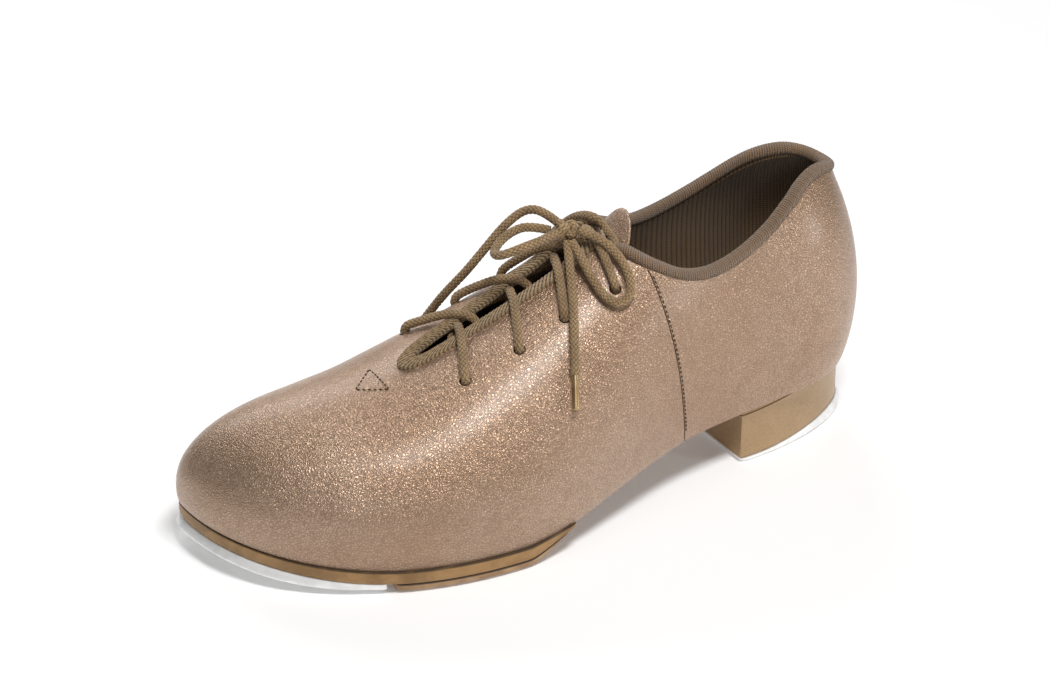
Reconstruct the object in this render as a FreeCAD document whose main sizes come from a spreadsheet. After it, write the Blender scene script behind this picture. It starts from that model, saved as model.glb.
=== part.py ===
import FreeCAD, Part
import math
import os

# Left tap shoe.  Millimetres.  X runs from the heel to the toe, Y to the lateral side, Z up from the floor.
# Everything is drawn with x = 0 at the heel and y = 0 on the heel's centre line, then placed so that the
# origin is under the middle of the shoe.

os.makedirs("parts", exist_ok=True)
doc = FreeCAD.newDocument("tap_shoe")
V = FreeCAD.Vector

# ---------------------------------------------------------------- driving dimensions
SIZES = [
    ("origin_x", 126.2, "middle of the shoe behind the toe"),
    ("origin_y", 3.5, "middle of the shoe beside the heel's centre line"),
    ("leather_t", 1.2, "upper leather"),
    ("lining_t", 0.7, "vamp lining"),
    ("counter_t", 1.0, "heel counter and quarter padding"),
    ("terry_t", 1.5, "terry quarter lining"),
    ("collar_w", 4.8, "knitted topline collar, across"),
    ("collar_h", 3.6, "knitted topline collar, tall"),
    ("binding_t", 2.8, "ribbed throat binding, thick"),
    ("board_t", 2.0, "insole board"),
    ("sock_t", 2.4, "cushion sock"),
    ("outsole_t", 5.0, "forefoot outsole"),
    ("tap_t", 3.0, "taps and half sole pad"),
    ("welt", 1.8, "outsole edge beyond the leather"),
    ("heel_len", 60.0, "heel tap, back to breast"),
    ("heel_half", 28.6, "heel tap, half width"),
    ("lace_d", 3.0, "round braided lace"),
    ("aglet_d", 2.6, "lace tip"),
    ("aglet_len", 12.0, "lace tip, long"),
    ("eyelet_d", 4.0, "punched eyelet"),
    ("tongue_gap", 7.6, "tongue below the upper's outside"),
    ("tongue_t", 1.3, "tongue leather and tongue lining, each"),
    ("hinge_x", 87.0, "arch crease behind the toe"),
    ("seam_gap", 0.4, "clearance between forepart and heel part"),
]
sheet = doc.addObject("Spreadsheet::Sheet", "sizes")
for row, (alias, value, note) in enumerate(SIZES, 1):
    sheet.set("A%d" % row, note)
    sheet.set("B%d" % row, str(value))
    sheet.setAlias("B%d" % row, alias)
doc.recompute()


def size(alias):
    return float(sheet.get(alias))


ORIGIN = V(-size("origin_x"), -size("origin_y"), 0)
LEATHER = size("leather_t")
LINING = LEATHER + size("lining_t")
COUNTER = LEATHER + size("counter_t")
TERRY = COUNTER + size("terry_t")
TAP = size("tap_t")
SOLE = TAP + size("outsole_t")
LACE = size("lace_d") / 2
HINGE_X = size("hinge_x")


# ---------------------------------------------------------------- curves
def smooth(points):
    """A smooth curve through a few points, level tangents following its neighbours."""
    xs = [p[0] for p in points]
    ys = [p[1] for p in points]
    step = [xs[i + 1] - xs[i] for i in range(len(xs) - 1)]
    rise = [(ys[i + 1] - ys[i]) / step[i] for i in range(len(step))]
    slope = [rise[0]]
    for i in range(1, len(step)):
        slope.append((rise[i - 1] * step[i] + rise[i] * step[i - 1]) / (step[i - 1] + step[i]))
    slope.append(rise[-1])

    def curve(x):
        x = min(max(x, xs[0]), xs[-1])
        i = 0
        while i < len(step) - 1 and x > xs[i + 1]:
            i += 1
        t = (x - xs[i]) / step[i]
        a = (2 * t ** 3 - 3 * t ** 2 + 1) * ys[i] + (t ** 3 - 2 * t ** 2 + t) * step[i] * slope[i]
        return a + (3 * t ** 2 - 2 * t ** 3) * ys[i + 1] + (t ** 3 - t ** 2) * step[i] * slope[i + 1]

    return curve


def quarter(s, start, end, power=2.0, root=2.0):
    """From start, level, to end, square on, as s goes from 0 to 1."""
    if s > 1 - 1e-9:
        return end
    return end + (start - end) * (1 - max(s, 0.0) ** power) ** (1 / root)


TIP_Y = -22.0
FLAT_FROM = 158.0
FLAT_TO = 196.0
SPRING = 8.0 / 60.0 ** 2
SHANK = smooth([(-12, 25.4), (0, 24.5), (30, 22), (60, 19.5), (85, 18), (110, 15), (135, 11), (FLAT_FROM, SOLE)])


def feather_z(x):
    """Height of the leather's lower edge: shank, flat ball, toe spring."""
    if x < FLAT_FROM:
        return SHANK(x)
    return SOLE + SPRING * max(0.0, x - FLAT_TO) ** 2


def plan(x, middle, heel, toe, grow, power):
    """Half width at x: a heel ellipse, a drawn middle, a toe ellipse; grow makes it all larger."""
    curve, first, last = middle
    sign = 1 if curve(first) > 0 else -1
    if x < first:
        s = (first - x) / (first - heel + grow)
        return quarter(s, curve(first) + sign * grow, 0.0)
    if x > last:
        s = (x - last) / (toe + grow - last)
        return quarter(s, curve(last) + sign * grow, TIP_Y, power, power)
    return curve(x) + sign * grow


def middle(points):
    return (smooth(points), points[0][0], points[-1][0])


WIDE = {1: middle([(34, 30), (60, 31), (90, 35), (120, 43), (145, 49), (160, 50)]),
        -1: middle([(34, -30), (60, -30), (90, -29), (120, -31), (150, -37), (180, -42), (198, -43)])}
FOOT = {1: middle([(34, 27), (60, 27.5), (90, 31), (120, 39.5), (145, 46.5), (160, 48)]),
        -1: middle([(34, -27), (60, -26), (90, -22), (120, -24), (150, -34), (180, -40.5), (198, -41)])}
TOE_POWER = {1: 2.0, -1: 2.6}
WIDE_END = (0.0, 254.0)
FOOT_END = (5.5, 251.5)
RIDGE_END = (3.0, 254.0)
WIDE_UP = smooth([(0, 26), (60, 26), (95, 25), (125, 22), (150, 18), (185, 14), (225, 10), (256, 4)])
RIDGE_Z = smooth([(0, 104), (35, 103.5), (60, 103), (80, 99.5), (95, 97), (109, 92), (122, 84),
                  (142, 75), (160, 68), (181, 60), (200, 53)])
TONGUE_Z = smooth([(60, 130), (80, 116), (92, 106), (97, 100.5), (101, 95.8), (105, 93.6), (109, 92), (122, 84),
                   (142, 75), (160, 68), (181, 60), (200, 53)])
RIDGE_Y = smooth([(-12, 0), (30, 0), (60, 0), (109, 2), (142, 3), (181, 1), (210, -6), (235, -15), (254, TIP_Y)])
ROUND = {1: smooth([(-12, 2), (30, 2), (60, 2), (100, 2.0), (125, 1.9), (150, 1.9), (175, 2.0), (250, 2.1)]),
         -1: smooth([(-12, 2), (30, 2), (60, 2), (100, 2.1), (125, 2.2), (200, 2.2), (250, 2.1)])}
TOPLINE = smooth([(-12, 87), (3, 90), (12, 94), (20, 95.5), (28, 94), (36, 90), (45, 85), (55, 80.5), (65, 77.5),
                  (75, 76.5), (85, 78.5), (95, 83.5), (105, 89), (114, 93)])
TOPLINE_FRONT = 114.0
LOWER_SHARE = 0.22
TIP_RISE = 3.5
FOOT_DROP = 1.2


def along(u, ends, grow):
    return ends[0] - grow + (ends[1] - ends[0] + 2 * grow) * 0.5 * (1 - math.cos(math.pi * u))


def ridge_z(x, tongue, grow):
    if x <= 200:
        return (TONGUE_Z if tongue else RIDGE_Z)(x)
    end = RIDGE_END[1] + grow
    tip = feather_z(end) + WIDE_UP(end) + TIP_RISE - grow
    return quarter((x - 200) / (end - 200), 53.0, tip, 1.9)


def lean(x, z):
    """The heel's back is bowed out low down and leans forward at the top."""
    h = (z - 24) / 66
    back = min(max(h, 0.0), 1.0)
    shift = -3.0 * math.sin(back * math.pi * 0.85) + 7.5 * min(max(h, 0.0), 2.0) ** 2.2
    return shift * min(max(1 - x / 80, 0.0), 1.0) ** 1.5


def upper_point(u, a, side, grow=0.0, tongue=False):
    """A point of the upper: u from heel 0 to toe 1, a from feather 0 to ridge 1, side 1 lateral or -1 medial."""
    xf = along(u, FOOT_END, grow)
    foot = V(xf, plan(xf, FOOT[side], FOOT_END[0], FOOT_END[1], grow, TOE_POWER[side]), feather_z(xf) - FOOT_DROP)
    xw = along(u, WIDE_END, grow)
    wide = V(xw, plan(xw, WIDE[side], WIDE_END[0], WIDE_END[1], grow, TOE_POWER[side]), feather_z(xw) + WIDE_UP(xw))
    xr = along(u, RIDGE_END, grow)
    ridge = V(xr, RIDGE_Y(along(u, RIDGE_END, 0.0)), ridge_z(xr, tongue, grow) + grow)
    if a <= LOWER_SHARE:
        t = a / LOWER_SHARE * math.pi / 2
        out = foot + (wide - foot) * math.sin(t)
        out.z = foot.z + (wide.z - foot.z) * (1 - math.cos(t))
    else:
        t = (a - LOWER_SHARE) / (1 - LOWER_SHARE) * math.pi / 2
        n = 2 / ROUND[side](xw)
        out = ridge + (wide - ridge) * max(math.cos(t), 0.0) ** n
        out.z = wide.z + (ridge.z - wide.z) * math.sin(t) ** n
    out.x += lean(out.x, out.z)
    return out


# ---------------------------------------------------------------- the upper as solids, one inside another
ROWS = 40
LOWER_ROWS = 4
UPPER_ROWS = 12
UNDER = -6.0
A_STEPS = [LOWER_SHARE * i / LOWER_ROWS for i in range(LOWER_ROWS)]
A_STEPS += [LOWER_SHARE + (1 - LOWER_SHARE) * i / UPPER_ROWS for i in range(UPPER_ROWS + 1)]


def skin_through(grid):
    """A surface through a grid of points, evenly parametrised, so that neighbours with equal edges share them."""
    rows = [i / (len(grid) - 1) for i in range(len(grid))]
    columns = [i / (len(grid[0]) - 1) for i in range(len(grid[0]))]
    by_row = []
    for j in range(len(columns)):
        curve = Part.BSplineCurve()
        curve.interpolate(Points=[grid[i][j] for i in range(len(rows))], Parameters=rows)
        by_row.append(curve)
    poles = []
    for i in range(by_row[0].NbPoles):
        across = Part.BSplineCurve()
        across.interpolate(Points=[curve.getPole(i + 1) for curve in by_row], Parameters=columns)
        poles.append(across.getPoles())
    surface = Part.BSplineSurface()
    surface.buildFromPolesMultsKnots(
        poles, by_row[0].getMultiplicities(), across.getMultiplicities(),
        by_row[0].getKnots(), across.getKnots(), False, False, by_row[0].Degree, across.Degree)
    return surface


def upper_solid(inset, tongue=False):
    """The upper's outside moved in by inset, as a closed solid that runs on down below the floor."""
    faces = []
    low = []
    for side in (1, -1):
        grid = [[upper_point(i / ROWS, a, side, -inset, tongue) for a in A_STEPS] for i in range(ROWS + 1)]
        skin = skin_through(grid)
        faces.append(skin.toShape())
        feather = skin.vIso(0.0)
        floor = feather.copy()
        for i, pole in enumerate(feather.getPoles(), 1):
            floor.setPole(i, V(pole.x, pole.y, UNDER))
        faces.append(Part.makeRuledSurface(feather.toShape(), floor.toShape()))
        low.append(floor.toShape())
    faces.append(Part.Face(Part.Wire(Part.__sortEdges__(low))))
    shell = Part.Shell(faces)
    shell.sewShape(0.001)
    solid = Part.Solid(shell)
    if solid.Volume < 0:
        solid.reverse()
    return solid


cache = {}


def upper(inset, tongue=False):
    key = (round(inset, 3), tongue)
    if key not in cache:
        cache[key] = upper_solid(inset, tongue)
    return cache[key]


# ---------------------------------------------------------------- cutters
REACH = 90.0


def side_prism(wire):
    """A solid across the whole shoe from an outline in the XZ plane."""
    face = Part.Face(wire)
    face.translate(V(0, -REACH, 0))
    return face.extrude(V(0, 2 * REACH, 0))


def line(a, b):
    return Part.LineSegment(a, b).toShape()


def spline(points):
    curve = Part.BSplineCurve()
    curve.interpolate(points)
    return curve.toShape()


def sole_line(offset, x0, x1):
    """Edges along the shoe's bottom line, offset up or down: curved shank, straight ball, curved toe."""
    edges = []

    def bend(a, b):
        count = max(3, int((b - a) / 9) + 1)
        xs = [a + (b - a) * i / (count - 1) for i in range(count)]
        return spline([V(x, 0, feather_z(x) + offset) for x in xs])

    if x0 < FLAT_FROM:
        edges.append(bend(x0, min(FLAT_FROM, x1)))
    if x0 < FLAT_TO and x1 > FLAT_FROM:
        edges.append(line(V(max(x0, FLAT_FROM), 0, SOLE + offset), V(min(x1, FLAT_TO), 0, SOLE + offset)))
    if x1 > FLAT_TO:
        edges.append(bend(max(FLAT_TO, x0), x1))
    return edges


def band(low, high, x0, x1):
    """All between two heights above the bottom line."""
    lower = sole_line(low, x0, x1)
    upper_edges = sole_line(high, x0, x1)
    ends = [line(V(x, 0, feather_z(x) + low), V(x, 0, feather_z(x) + high)) for x in (x0, x1)]
    return side_prism(Part.Wire(Part.__sortEdges__(lower + upper_edges + ends)))


def above(offset):
    """All that is higher than the bottom line plus offset."""
    top = 140.0
    x0, x1 = -12.0, 270.0
    edges = sole_line(offset, x0, x1)
    a = V(x0, 0, feather_z(x0) + offset)
    b = V(x1, 0, feather_z(x1) + offset)
    edges += [line(a, V(x0, 0, top)), line(V(x0, 0, top), V(x1, 0, top)), line(V(x1, 0, top), b)]
    return side_prism(Part.Wire(Part.__sortEdges__(edges)))


def over_topline(offset):
    """All that is higher than the topline plus offset, behind the throat."""
    xs = [-12, -4, 3, 9, 15, 20, 25, 30, 36, 42, 50, 58, 66, 74, 82, 90, 98, 106, TOPLINE_FRONT]
    curve = [V(x, 0, TOPLINE(x) + offset) for x in xs]
    top = 140.0
    corner = [curve[-1], V(TOPLINE_FRONT, 0, top), V(xs[0], 0, top), curve[0]]
    edges = [spline(curve)] + [line(corner[i], corner[i + 1]) for i in range(3)]
    return side_prism(Part.Wire(Part.__sortEdges__(edges)))


SEAM_SLANT = 0.16


def seam_side(front):
    """All in front of the quarter seam, or all behind it."""
    half = size("seam_gap") / 2
    z0, z1 = -20.0, 140.0
    base = feather_z(HINGE_X)
    shift = half if front else -half
    a = V(HINGE_X + shift + (z0 - base) * SEAM_SLANT, 0, z0)
    b = V(HINGE_X + shift + (z1 - base) * SEAM_SLANT, 0, z1)
    far = 290.0 if front else -40.0
    corners = [a, b, V(far, 0, z1), V(far, 0, z0), a]
    return side_prism(Part.Wire([line(corners[i], corners[i + 1]) for i in range(4)]))


FRONT = seam_side(True)
BACK = seam_side(False)

# the throat slot seen from above, open at its back; the binding lies between the two outlines
SLOT = [(92, 10), (127, 8.8), (150, 7.6), (170, 6.4), (178, 4.4), (181.5, 0.6), (178, -3.4), (170, -5.2),
        (150, -6), (127, -7), (92, -8)]
GAP = [(92, 6.4), (127, 5.2), (150, 4.2), (168, 3.2), (174, 2.2), (176.5, 0.6), (174, -1), (168, -1.9),
       (150, -2.6), (127, -3.4), (92, -4.4)]


def plan_prism(points, z0, z1, closed=False):
    pts = [V(x, y, z0) for x, y in points]
    curve = Part.BSplineCurve()
    if closed:
        curve.interpolate(pts, True)
        wire = Part.Wire([curve.toShape()])
    else:
        curve.interpolate(pts)
        wire = Part.Wire([curve.toShape(), line(pts[-1], pts[0])])
    return Part.Face(wire).extrude(V(0, 0, z1 - z0))


def on_upper(x, y, height=0.0):
    """The point of the upper at x and y, raised along the surface's normal, and that normal."""
    side = 1 if y > RIDGE_Y(x) else -1

    def solve(inset_x, target_y):
        u = math.acos(1 - 2 * (inset_x - WIDE_END[0]) / (WIDE_END[1] - WIDE_END[0])) / math.pi
        lo, hi = LOWER_SHARE, 1.0
        for _ in range(30):
            a = (lo + hi) / 2
            if abs(upper_point(u, a, side).y) > abs(target_y) and upper_point(u, a, side).y * target_y > 0:
                lo = a
            elif upper_point(u, a, side).y * side > target_y * side:
                lo = a
            else:
                hi = a
        return u, (lo + hi) / 2

    u, a = solve(x, y)
    for _ in range(3):
        miss = upper_point(u, a, side).x - x
        u, a = solve(x - miss, y)
    step = 0.004
    p = upper_point(u, a, side)
    du = upper_point(u + step, a, side) - upper_point(u - step, a, side)
    low = max(a - step, 0.0)
    high = min(a + step, 1.0)
    da = upper_point(u, high, side) - upper_point(u, low, side)
    normal = du.cross(da)
    normal.normalize()
    if normal.z < 0:
        normal = normal * -1
    return p + normal * height, normal


# ---------------------------------------------------------------- cords: straight runs joined by tangent arcs
def cord(points, radius, name):
    pts = [V(*p) if not isinstance(p, FreeCAD.Vector) else p for p in points]
    edges = []
    start = pts[0]
    tightest = 1e9
    for i in range(1, len(pts) - 1):
        p = pts[i]
        d0 = p - pts[i - 1]
        d1 = pts[i + 1] - p
        run = 0.45 * min(d0.Length, d1.Length)
        d0.normalize()
        d1.normalize()
        turn = d0.getAngle(d1)
        bend = run / math.tan(turn / 2)
        tightest = min(tightest, bend)
        a = p - d0 * run
        b = p + d1 * run
        inward = d1 - d0
        inward.normalize()
        mid = p + inward * (bend / math.cos(turn / 2) - bend)
        edges.append(Part.LineSegment(start, a).toShape())
        edges.append(Part.Arc(a, mid, b).toShape())
        start = b
    edges.append(Part.LineSegment(start, pts[-1]).toShape())
    wire = Part.Wire(edges)
    ring = Part.Wire([Part.makeCircle(radius, pts[0], pts[1] - pts[0])])
    tube = wire.makePipeShell([ring], True, True)
    ideal = math.pi * radius ** 2 * wire.Length
    print("cord %-18s length %6.1f  tightest bend %5.1f  volume ratio %.4f" % (
        name, wire.Length, tightest, tube.Volume / ideal))
    return tube


# ---------------------------------------------------------------- objects
made = []


def add(name, shape):
    obj = doc.addObject("Part::Feature", name)
    obj.Label = name
    obj.Shape = shape
    obj.Placement = FreeCAD.Placement(ORIGIN, FreeCAD.Rotation())
    made.append(obj)
    return obj


def role_plane(body, role):
    for feature in body.Origin.OriginFeatures:
        if feature.Role == role:
            return feature
    return None


# ---- uppers
OPEN_TOP = over_topline(0.0)
BAND_TOP = over_topline(size("collar_h"))
THROAT = plan_prism(SLOT, 20, 140)
THROAT_GAP = plan_prism(GAP, 20, 140)

EYELETS = [(168.3, 21.4), (147.9, 22.4), (129.8, 21.7), (111.0, 23.6)]
MEDIAL_EYELETS = [(x, -y + 1.4) for x, y in EYELETS]


def punches(radius):
    tools = []
    for x, y in EYELETS + MEDIAL_EYELETS:
        p, normal = on_upper(x, y, 3.0)
        tools.append(Part.makeCylinder(radius, 9.0, p, normal * -1))
    return tools


HOLES = punches(size("eyelet_d") / 2)


def layer(outer, inner, bottom_outer, bottom_inner):
    """A layer of the upper between two insets, with a floor between two heights."""
    outside = upper(outer).common(above(bottom_outer))
    inside = upper(inner).common(above(bottom_inner))
    return outside.cut(inside)


leather = layer(0.0, LEATHER, 0.0, LEATHER).cut(OPEN_TOP)
vamp = leather.common(FRONT).cut(THROAT)
quarter_leather = leather.common(BACK)
for hole in HOLES:
    vamp = vamp.cut(hole)

floor_z = LEATHER
vamp_lining = layer(LEATHER, LINING, floor_z, floor_z - 4).cut(OPEN_TOP).common(FRONT).cut(THROAT)
for hole in HOLES:
    vamp_lining = vamp_lining.cut(hole)

add("vamp_upper", vamp)
add("vamp_lining", vamp_lining)
PUFF_X = 224.0
puff_box = Part.makeBox(60, 2 * REACH, 120, V(PUFF_X, -REACH, 0))
add("toe_puff", layer(LINING, LINING + 0.8, floor_z + size("board_t"), floor_z - 4).common(puff_box))
binding = upper(-0.7).common(above(10.0)).cut(upper(size("binding_t") - 0.7))
binding = binding.common(THROAT).cut(THROAT_GAP).cut(OPEN_TOP).common(FRONT)
add("throat_binding", binding)

COLLAR_OUT = -0.5
collar = upper(COLLAR_OUT).cut(upper(COLLAR_OUT + size("collar_w"))).common(above(40.0))
collar = collar.common(OPEN_TOP).cut(BAND_TOP)
collar_limit = Part.makeBox(200, 2 * REACH, 140, V(-60, -REACH, 0))
collar_limit = collar_limit.cut(Part.makeBox(60, 2 * REACH, 140, V(104.0, -REACH, 0)))
collar = collar.common(collar_limit)
add("collar_front", collar.common(FRONT))
add("collar_rear", collar.common(BACK))

add("heel_quarter", quarter_leather)
COUNTER_X = 48.0
COUNTER_Z = 62.0
counter_box = Part.makeBox(COUNTER_X + 20, 2 * REACH, COUNTER_Z, V(-20, -REACH, 0))
padding = layer(LEATHER, COUNTER, floor_z, floor_z - 4).cut(OPEN_TOP).common(BACK)
add("heel_counter", padding.common(counter_box))
add("quarter_padding", padding.cut(counter_box))
add("quarter_lining", layer(COUNTER, TERRY, floor_z, floor_z - 4).cut(OPEN_TOP).common(BACK))

# ---- insoles
board_low = LEATHER
board_high = board_low + size("board_t")
sock_high = board_high + size("sock_t")
CLEAR = 0.1
board_front = upper(LINING + 0.9).common(band(board_low, board_high, -12, 265)).common(FRONT)
board_back = upper(TERRY + CLEAR).common(band(board_low, board_high, -12, 265)).common(BACK)
sock_front = upper(LINING + 0.9).common(band(board_high, sock_high, -12, 265)).common(FRONT)
sock_back = upper(TERRY + CLEAR).common(band(board_high, sock_high, -12, 265)).common(BACK)

# ---- soles and taps
SOLE_BACK = 140.0
TAP_BREAK = 211.5


def sole_outline(grow, x0):
    """Half the feather line and a little more, from x0 round the toe, as points for one curve."""
    pts = []
    tip = FOOT_END[1] + grow
    steps = 14
    for side in (1, -1):
        half = []
        for i in range(steps + 1):
            x = x0 + (tip - x0) * math.sin(math.pi / 2 * i / steps)
            half.append((x, plan(x, FOOT[side], FOOT_END[0], FOOT_END[1], grow, TOE_POWER[side])))
        pts += half if side == 1 else half[:-1][::-1]
    return pts


WELT = size("welt")
outsole = plan_prism(sole_outline(WELT, SOLE_BACK), -5, 40).common(band(TAP - SOLE, 0, SOLE_BACK - 5, 262))


def break_line(x, z0, z1, front):
    """Everything in front of or behind the shallow curve where the tap meets the half sole pad."""
    curve = Part.Arc(V(x, -70, z0), V(x - 6, 0, z0), V(x, 70, z0)).toShape()
    far = 290.0 if front else 60.0
    edges = [curve, line(V(x, 70, z0), V(far, 70, z0)), line(V(far, 70, z0), V(far, -70, z0)),
             line(V(far, -70, z0), V(x, -70, z0))]
    return Part.Face(Part.Wire(edges)).extrude(V(0, 0, z1 - z0))


thin = band(-SOLE, TAP - SOLE, SOLE_BACK - 5, 262)
toe_tap = plan_prism(sole_outline(WELT - 0.2, SOLE_BACK), -5, 40).common(thin).common(break_line(TAP_BREAK + 0.5, -9, 40, True))
pad = plan_prism(sole_outline(WELT - 0.2, SOLE_BACK + 3), -5, 40).common(thin).common(break_line(TAP_BREAK, -9, 40, False))


def heel_wire(z, shrink):
    back = 1.0 + shrink * 0.8
    half = size("heel_half") - shrink
    breast = back + size("heel_len")
    centre = breast - 3.0
    ellipse = Part.Ellipse(V(centre, 0, z), centre - back, half)
    arc = Part.ArcOfEllipse(ellipse, math.pi / 2, 3 * math.pi / 2).toShape()
    a = V(centre, half, z)
    b = V(centre, -half, z)
    c = V(breast, -half, z)
    d = V(breast, half, z)
    return Part.Wire([arc, line(b, c), line(c, d), line(d, a)])


block = Part.makeLoft([heel_wire(TAP, 0.0), heel_wire(34.0, 1.6)], True, True)
block = block.cut(above(0.0))

# ---- screws and nails
SCREW_HEAD = 3.4
SCREW_SHANK = 1.5


def screw(x, y, z, length):
    """A countersunk wood screw pointing up, its head flush in the tap."""
    head = Part.makeCone(SCREW_HEAD, SCREW_SHANK, 2.0, V(x, y, z))
    shank = Part.makeCylinder(SCREW_SHANK, length - 2.0, V(x, y, z + 2.0))
    slot = Part.makeBox(2 * SCREW_HEAD, 0.9, 0.8, V(x - SCREW_HEAD, y - 0.45, z))
    return head.fuse(shank).removeSplitter(), slot


HEEL_SCREWS = [(16.0, 0.0), (44.0, 15.0), (44.0, -15.0)]
TOE_SCREWS = [(217.0, 19.0), (217.0, -32.0), (239.0, -16.0)]
heel_screws = [screw(x, y, 0.2, 11.5) for x, y in HEEL_SCREWS]
toe_screws = [screw(x, y, feather_z(x) - SOLE + 0.2, 6.0) for x, y in TOE_SCREWS]


def tool_of(parts):
    """The screws' bores, running out through the tap's underside."""
    tools = []
    for solid, slot in parts:
        box = solid.BoundBox
        x, y = (box.XMin + box.XMax) / 2, (box.YMin + box.YMax) / 2
        tools.append(solid.fuse(Part.makeCylinder(SCREW_HEAD, 3.0, V(x, y, box.ZMin - 3.0))))
    return tools


for tool in tool_of(toe_screws):
    toe_tap = toe_tap.cut(tool)
    outsole = outsole.cut(tool)
for tool in tool_of(heel_screws):
    block = block.cut(tool)

NAILS = [(14.0, 0.0), (30.0, 15.0), (30.0, -15.0), (52.0, 17.0), (52.0, -17.0)]
NAIL_LEN = 14.0
NAIL_SUNK = 0.3
nails = []
for x, y in NAILS:
    top = feather_z(x) + board_high - NAIL_SUNK
    nail = Part.makeCylinder(1.0, NAIL_LEN, V(x, y, top - NAIL_LEN)).fuse(
        Part.makeCylinder(2.4, 0.8, V(x, y, top - 0.8))).removeSplitter()
    nails.append(nail)
    board_back = board_back.cut(nail)
    block = block.cut(nail)
    quarter_hole = nail
    quarter_leather = quarter_leather.cut(quarter_hole)
doc.getObject("heel_quarter").Shape = quarter_leather
doc.getObject("heel_quarter").Placement = FreeCAD.Placement(ORIGIN, FreeCAD.Rotation())

add("front_insole_board", board_front)
add("front_sock", sock_front)
add("heel_insole_board", board_back)
add("heel_sock", sock_back)
add("forefoot_outsole", outsole)
add("half_sole_pad", pad)
add("toe_tap", toe_tap)
add("toe_tap_screws", Part.makeCompound([solid.cut(slot) for solid, slot in toe_screws]))
add("heel_block", block)
add("heel_tap_screws", Part.makeCompound([solid.cut(slot) for solid, slot in heel_screws]))
add("heel_nails", Part.makeCompound(nails))

# ---- heel tap: a sketched plate with a softened lower edge and three countersunk holes
body = doc.addObject("PartDesign::Body", "heel_tap")
body.Label = "heel_tap"
sketch = body.newObject("Sketcher::SketchObject", "heel_tap_outline")
sketch.AttachmentSupport = (role_plane(body, "XY_Plane"), [""])
sketch.MapMode = "FlatFace"
breast = 1.0 + size("heel_len")
centre = breast - 3.0
half = size("heel_half")
ellipse = Part.Ellipse(V(centre, 0, 0), centre - 1.0, half)
sketch.addGeometry(Part.ArcOfEllipse(ellipse, math.pi / 2, 3 * math.pi / 2), False)
corners = [V(centre, -half, 0), V(breast, -half, 0), V(breast, half, 0), V(centre, half, 0)]
for i in range(3):
    sketch.addGeometry(Part.LineSegment(corners[i], corners[i + 1]), False)
plate = body.newObject("PartDesign::Pad", "heel_tap_plate")
plate.Profile = sketch
plate.setExpression("Length", "sizes.tap_t")
holes = body.newObject("Sketcher::SketchObject", "heel_tap_holes")
holes.AttachmentSupport = (role_plane(body, "XY_Plane"), [""])
holes.MapMode = "FlatFace"
for x, y in HEEL_SCREWS:
    holes.addGeometry(Part.Circle(V(x, y, 0), V(0, 0, 1), SCREW_SHANK), False)
doc.recompute()
drill = body.newObject("PartDesign::Pocket", "heel_tap_bores")
drill.Profile = holes
drill.Type = "ThroughAll"
drill.Midplane = True
doc.recompute()
sink = body.newObject("PartDesign::Chamfer", "heel_tap_countersinks")
rims = []
for i, edge in enumerate(drill.Shape.Edges, 1):
    round_edge = isinstance(edge.Curve, Part.Circle)
    if round_edge and abs(edge.BoundBox.ZMin) < 1e-6 and abs(edge.BoundBox.ZMax) < 1e-6:
        rims.append("Edge%d" % i)
sink.Base = (drill, rims)
sink.Size = SCREW_HEAD - SCREW_SHANK + 0.4
body.Placement = FreeCAD.Placement(ORIGIN, FreeCAD.Rotation())
doc.recompute()
soft = body.newObject("PartDesign::Fillet", "heel_tap_edge")
rims = []
for i, edge in enumerate(sink.Shape.Edges, 1):
    box = edge.BoundBox
    low_edge = abs(box.ZMin) < 1e-6 and abs(box.ZMax) < 1e-6
    if low_edge and not isinstance(edge.Curve, Part.Circle) and box.DiagonalLength > 8:
        rims.append("Edge%d" % i)
soft.Base = (sink, rims)
soft.Radius = 0.9
doc.recompute()
made.append(body)

# ---- tongue
TONGUE = [(181, 1), (178, 14), (165, 20), (140, 23), (120, 22), (109, 16.5), (99, 12), (94.5, 7.5), (93, 0.5),
          (94.5, -6.5), (99, -11), (109, -15), (120, -19.5), (140, -19.5), (165, -17.5), (178, -11)]
tongue_plan = plan_prism(TONGUE, 20, 140, True)
T0 = size("tongue_gap")
T1 = T0 + size("tongue_t")
T2 = T1 + size("tongue_t")
add("tongue_leather", upper(T0, True).cut(upper(T1, True)).common(above(12.0)).common(tongue_plan))
add("tongue_lining", upper(T1, True).cut(upper(T2, True)).common(above(12.0)).common(tongue_plan))

# ---- lace: two halves of one lace threaded through the eyelets, from the bottom bar up to the knot
OVER = LACE + 0.9
HIGH = LACE + 3.4
BELOW = -(LINING + LACE + 0.25)
KNOT = V(118.5, 3.5, 96.5)
RISE_A = [152.5, 132.2, 114.6, 102.5]
RISE_B = [157.8, 137.4, 119.8, 107.6]


def crossing(row, near_to_far):
    """One visible strand of a row: up through the gap, over the other flap, down its eyelet."""
    if near_to_far:
        x = RISE_A[row]
        gap_y, sign = 2.6, -1
        ex, ey = MEDIAL_EYELETS[row]
    else:
        x = RISE_B[row]
        gap_y, sign = -0.9, 1
        ex, ey = EYELETS[row]
    pts = [on_upper(x, gap_y - sign * 9.0, BELOW)[0],
           on_upper(x + 0.3, gap_y - sign * 1.2, BELOW + 0.4)[0],
           on_upper(x + 0.8, gap_y + sign * 1.6, LACE + 0.6)[0],
           on_upper(x + (ex - x) * 0.3, gap_y + (ey - gap_y) * 0.38, LACE + 1.6)[0],
           on_upper(x + (ex - x) * 0.72, gap_y + (ey - gap_y) * 0.74, OVER)[0],
           on_upper(ex, ey, LACE + 0.7)[0],
           on_upper(ex, ey, BELOW)[0]]
    return pts


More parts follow.
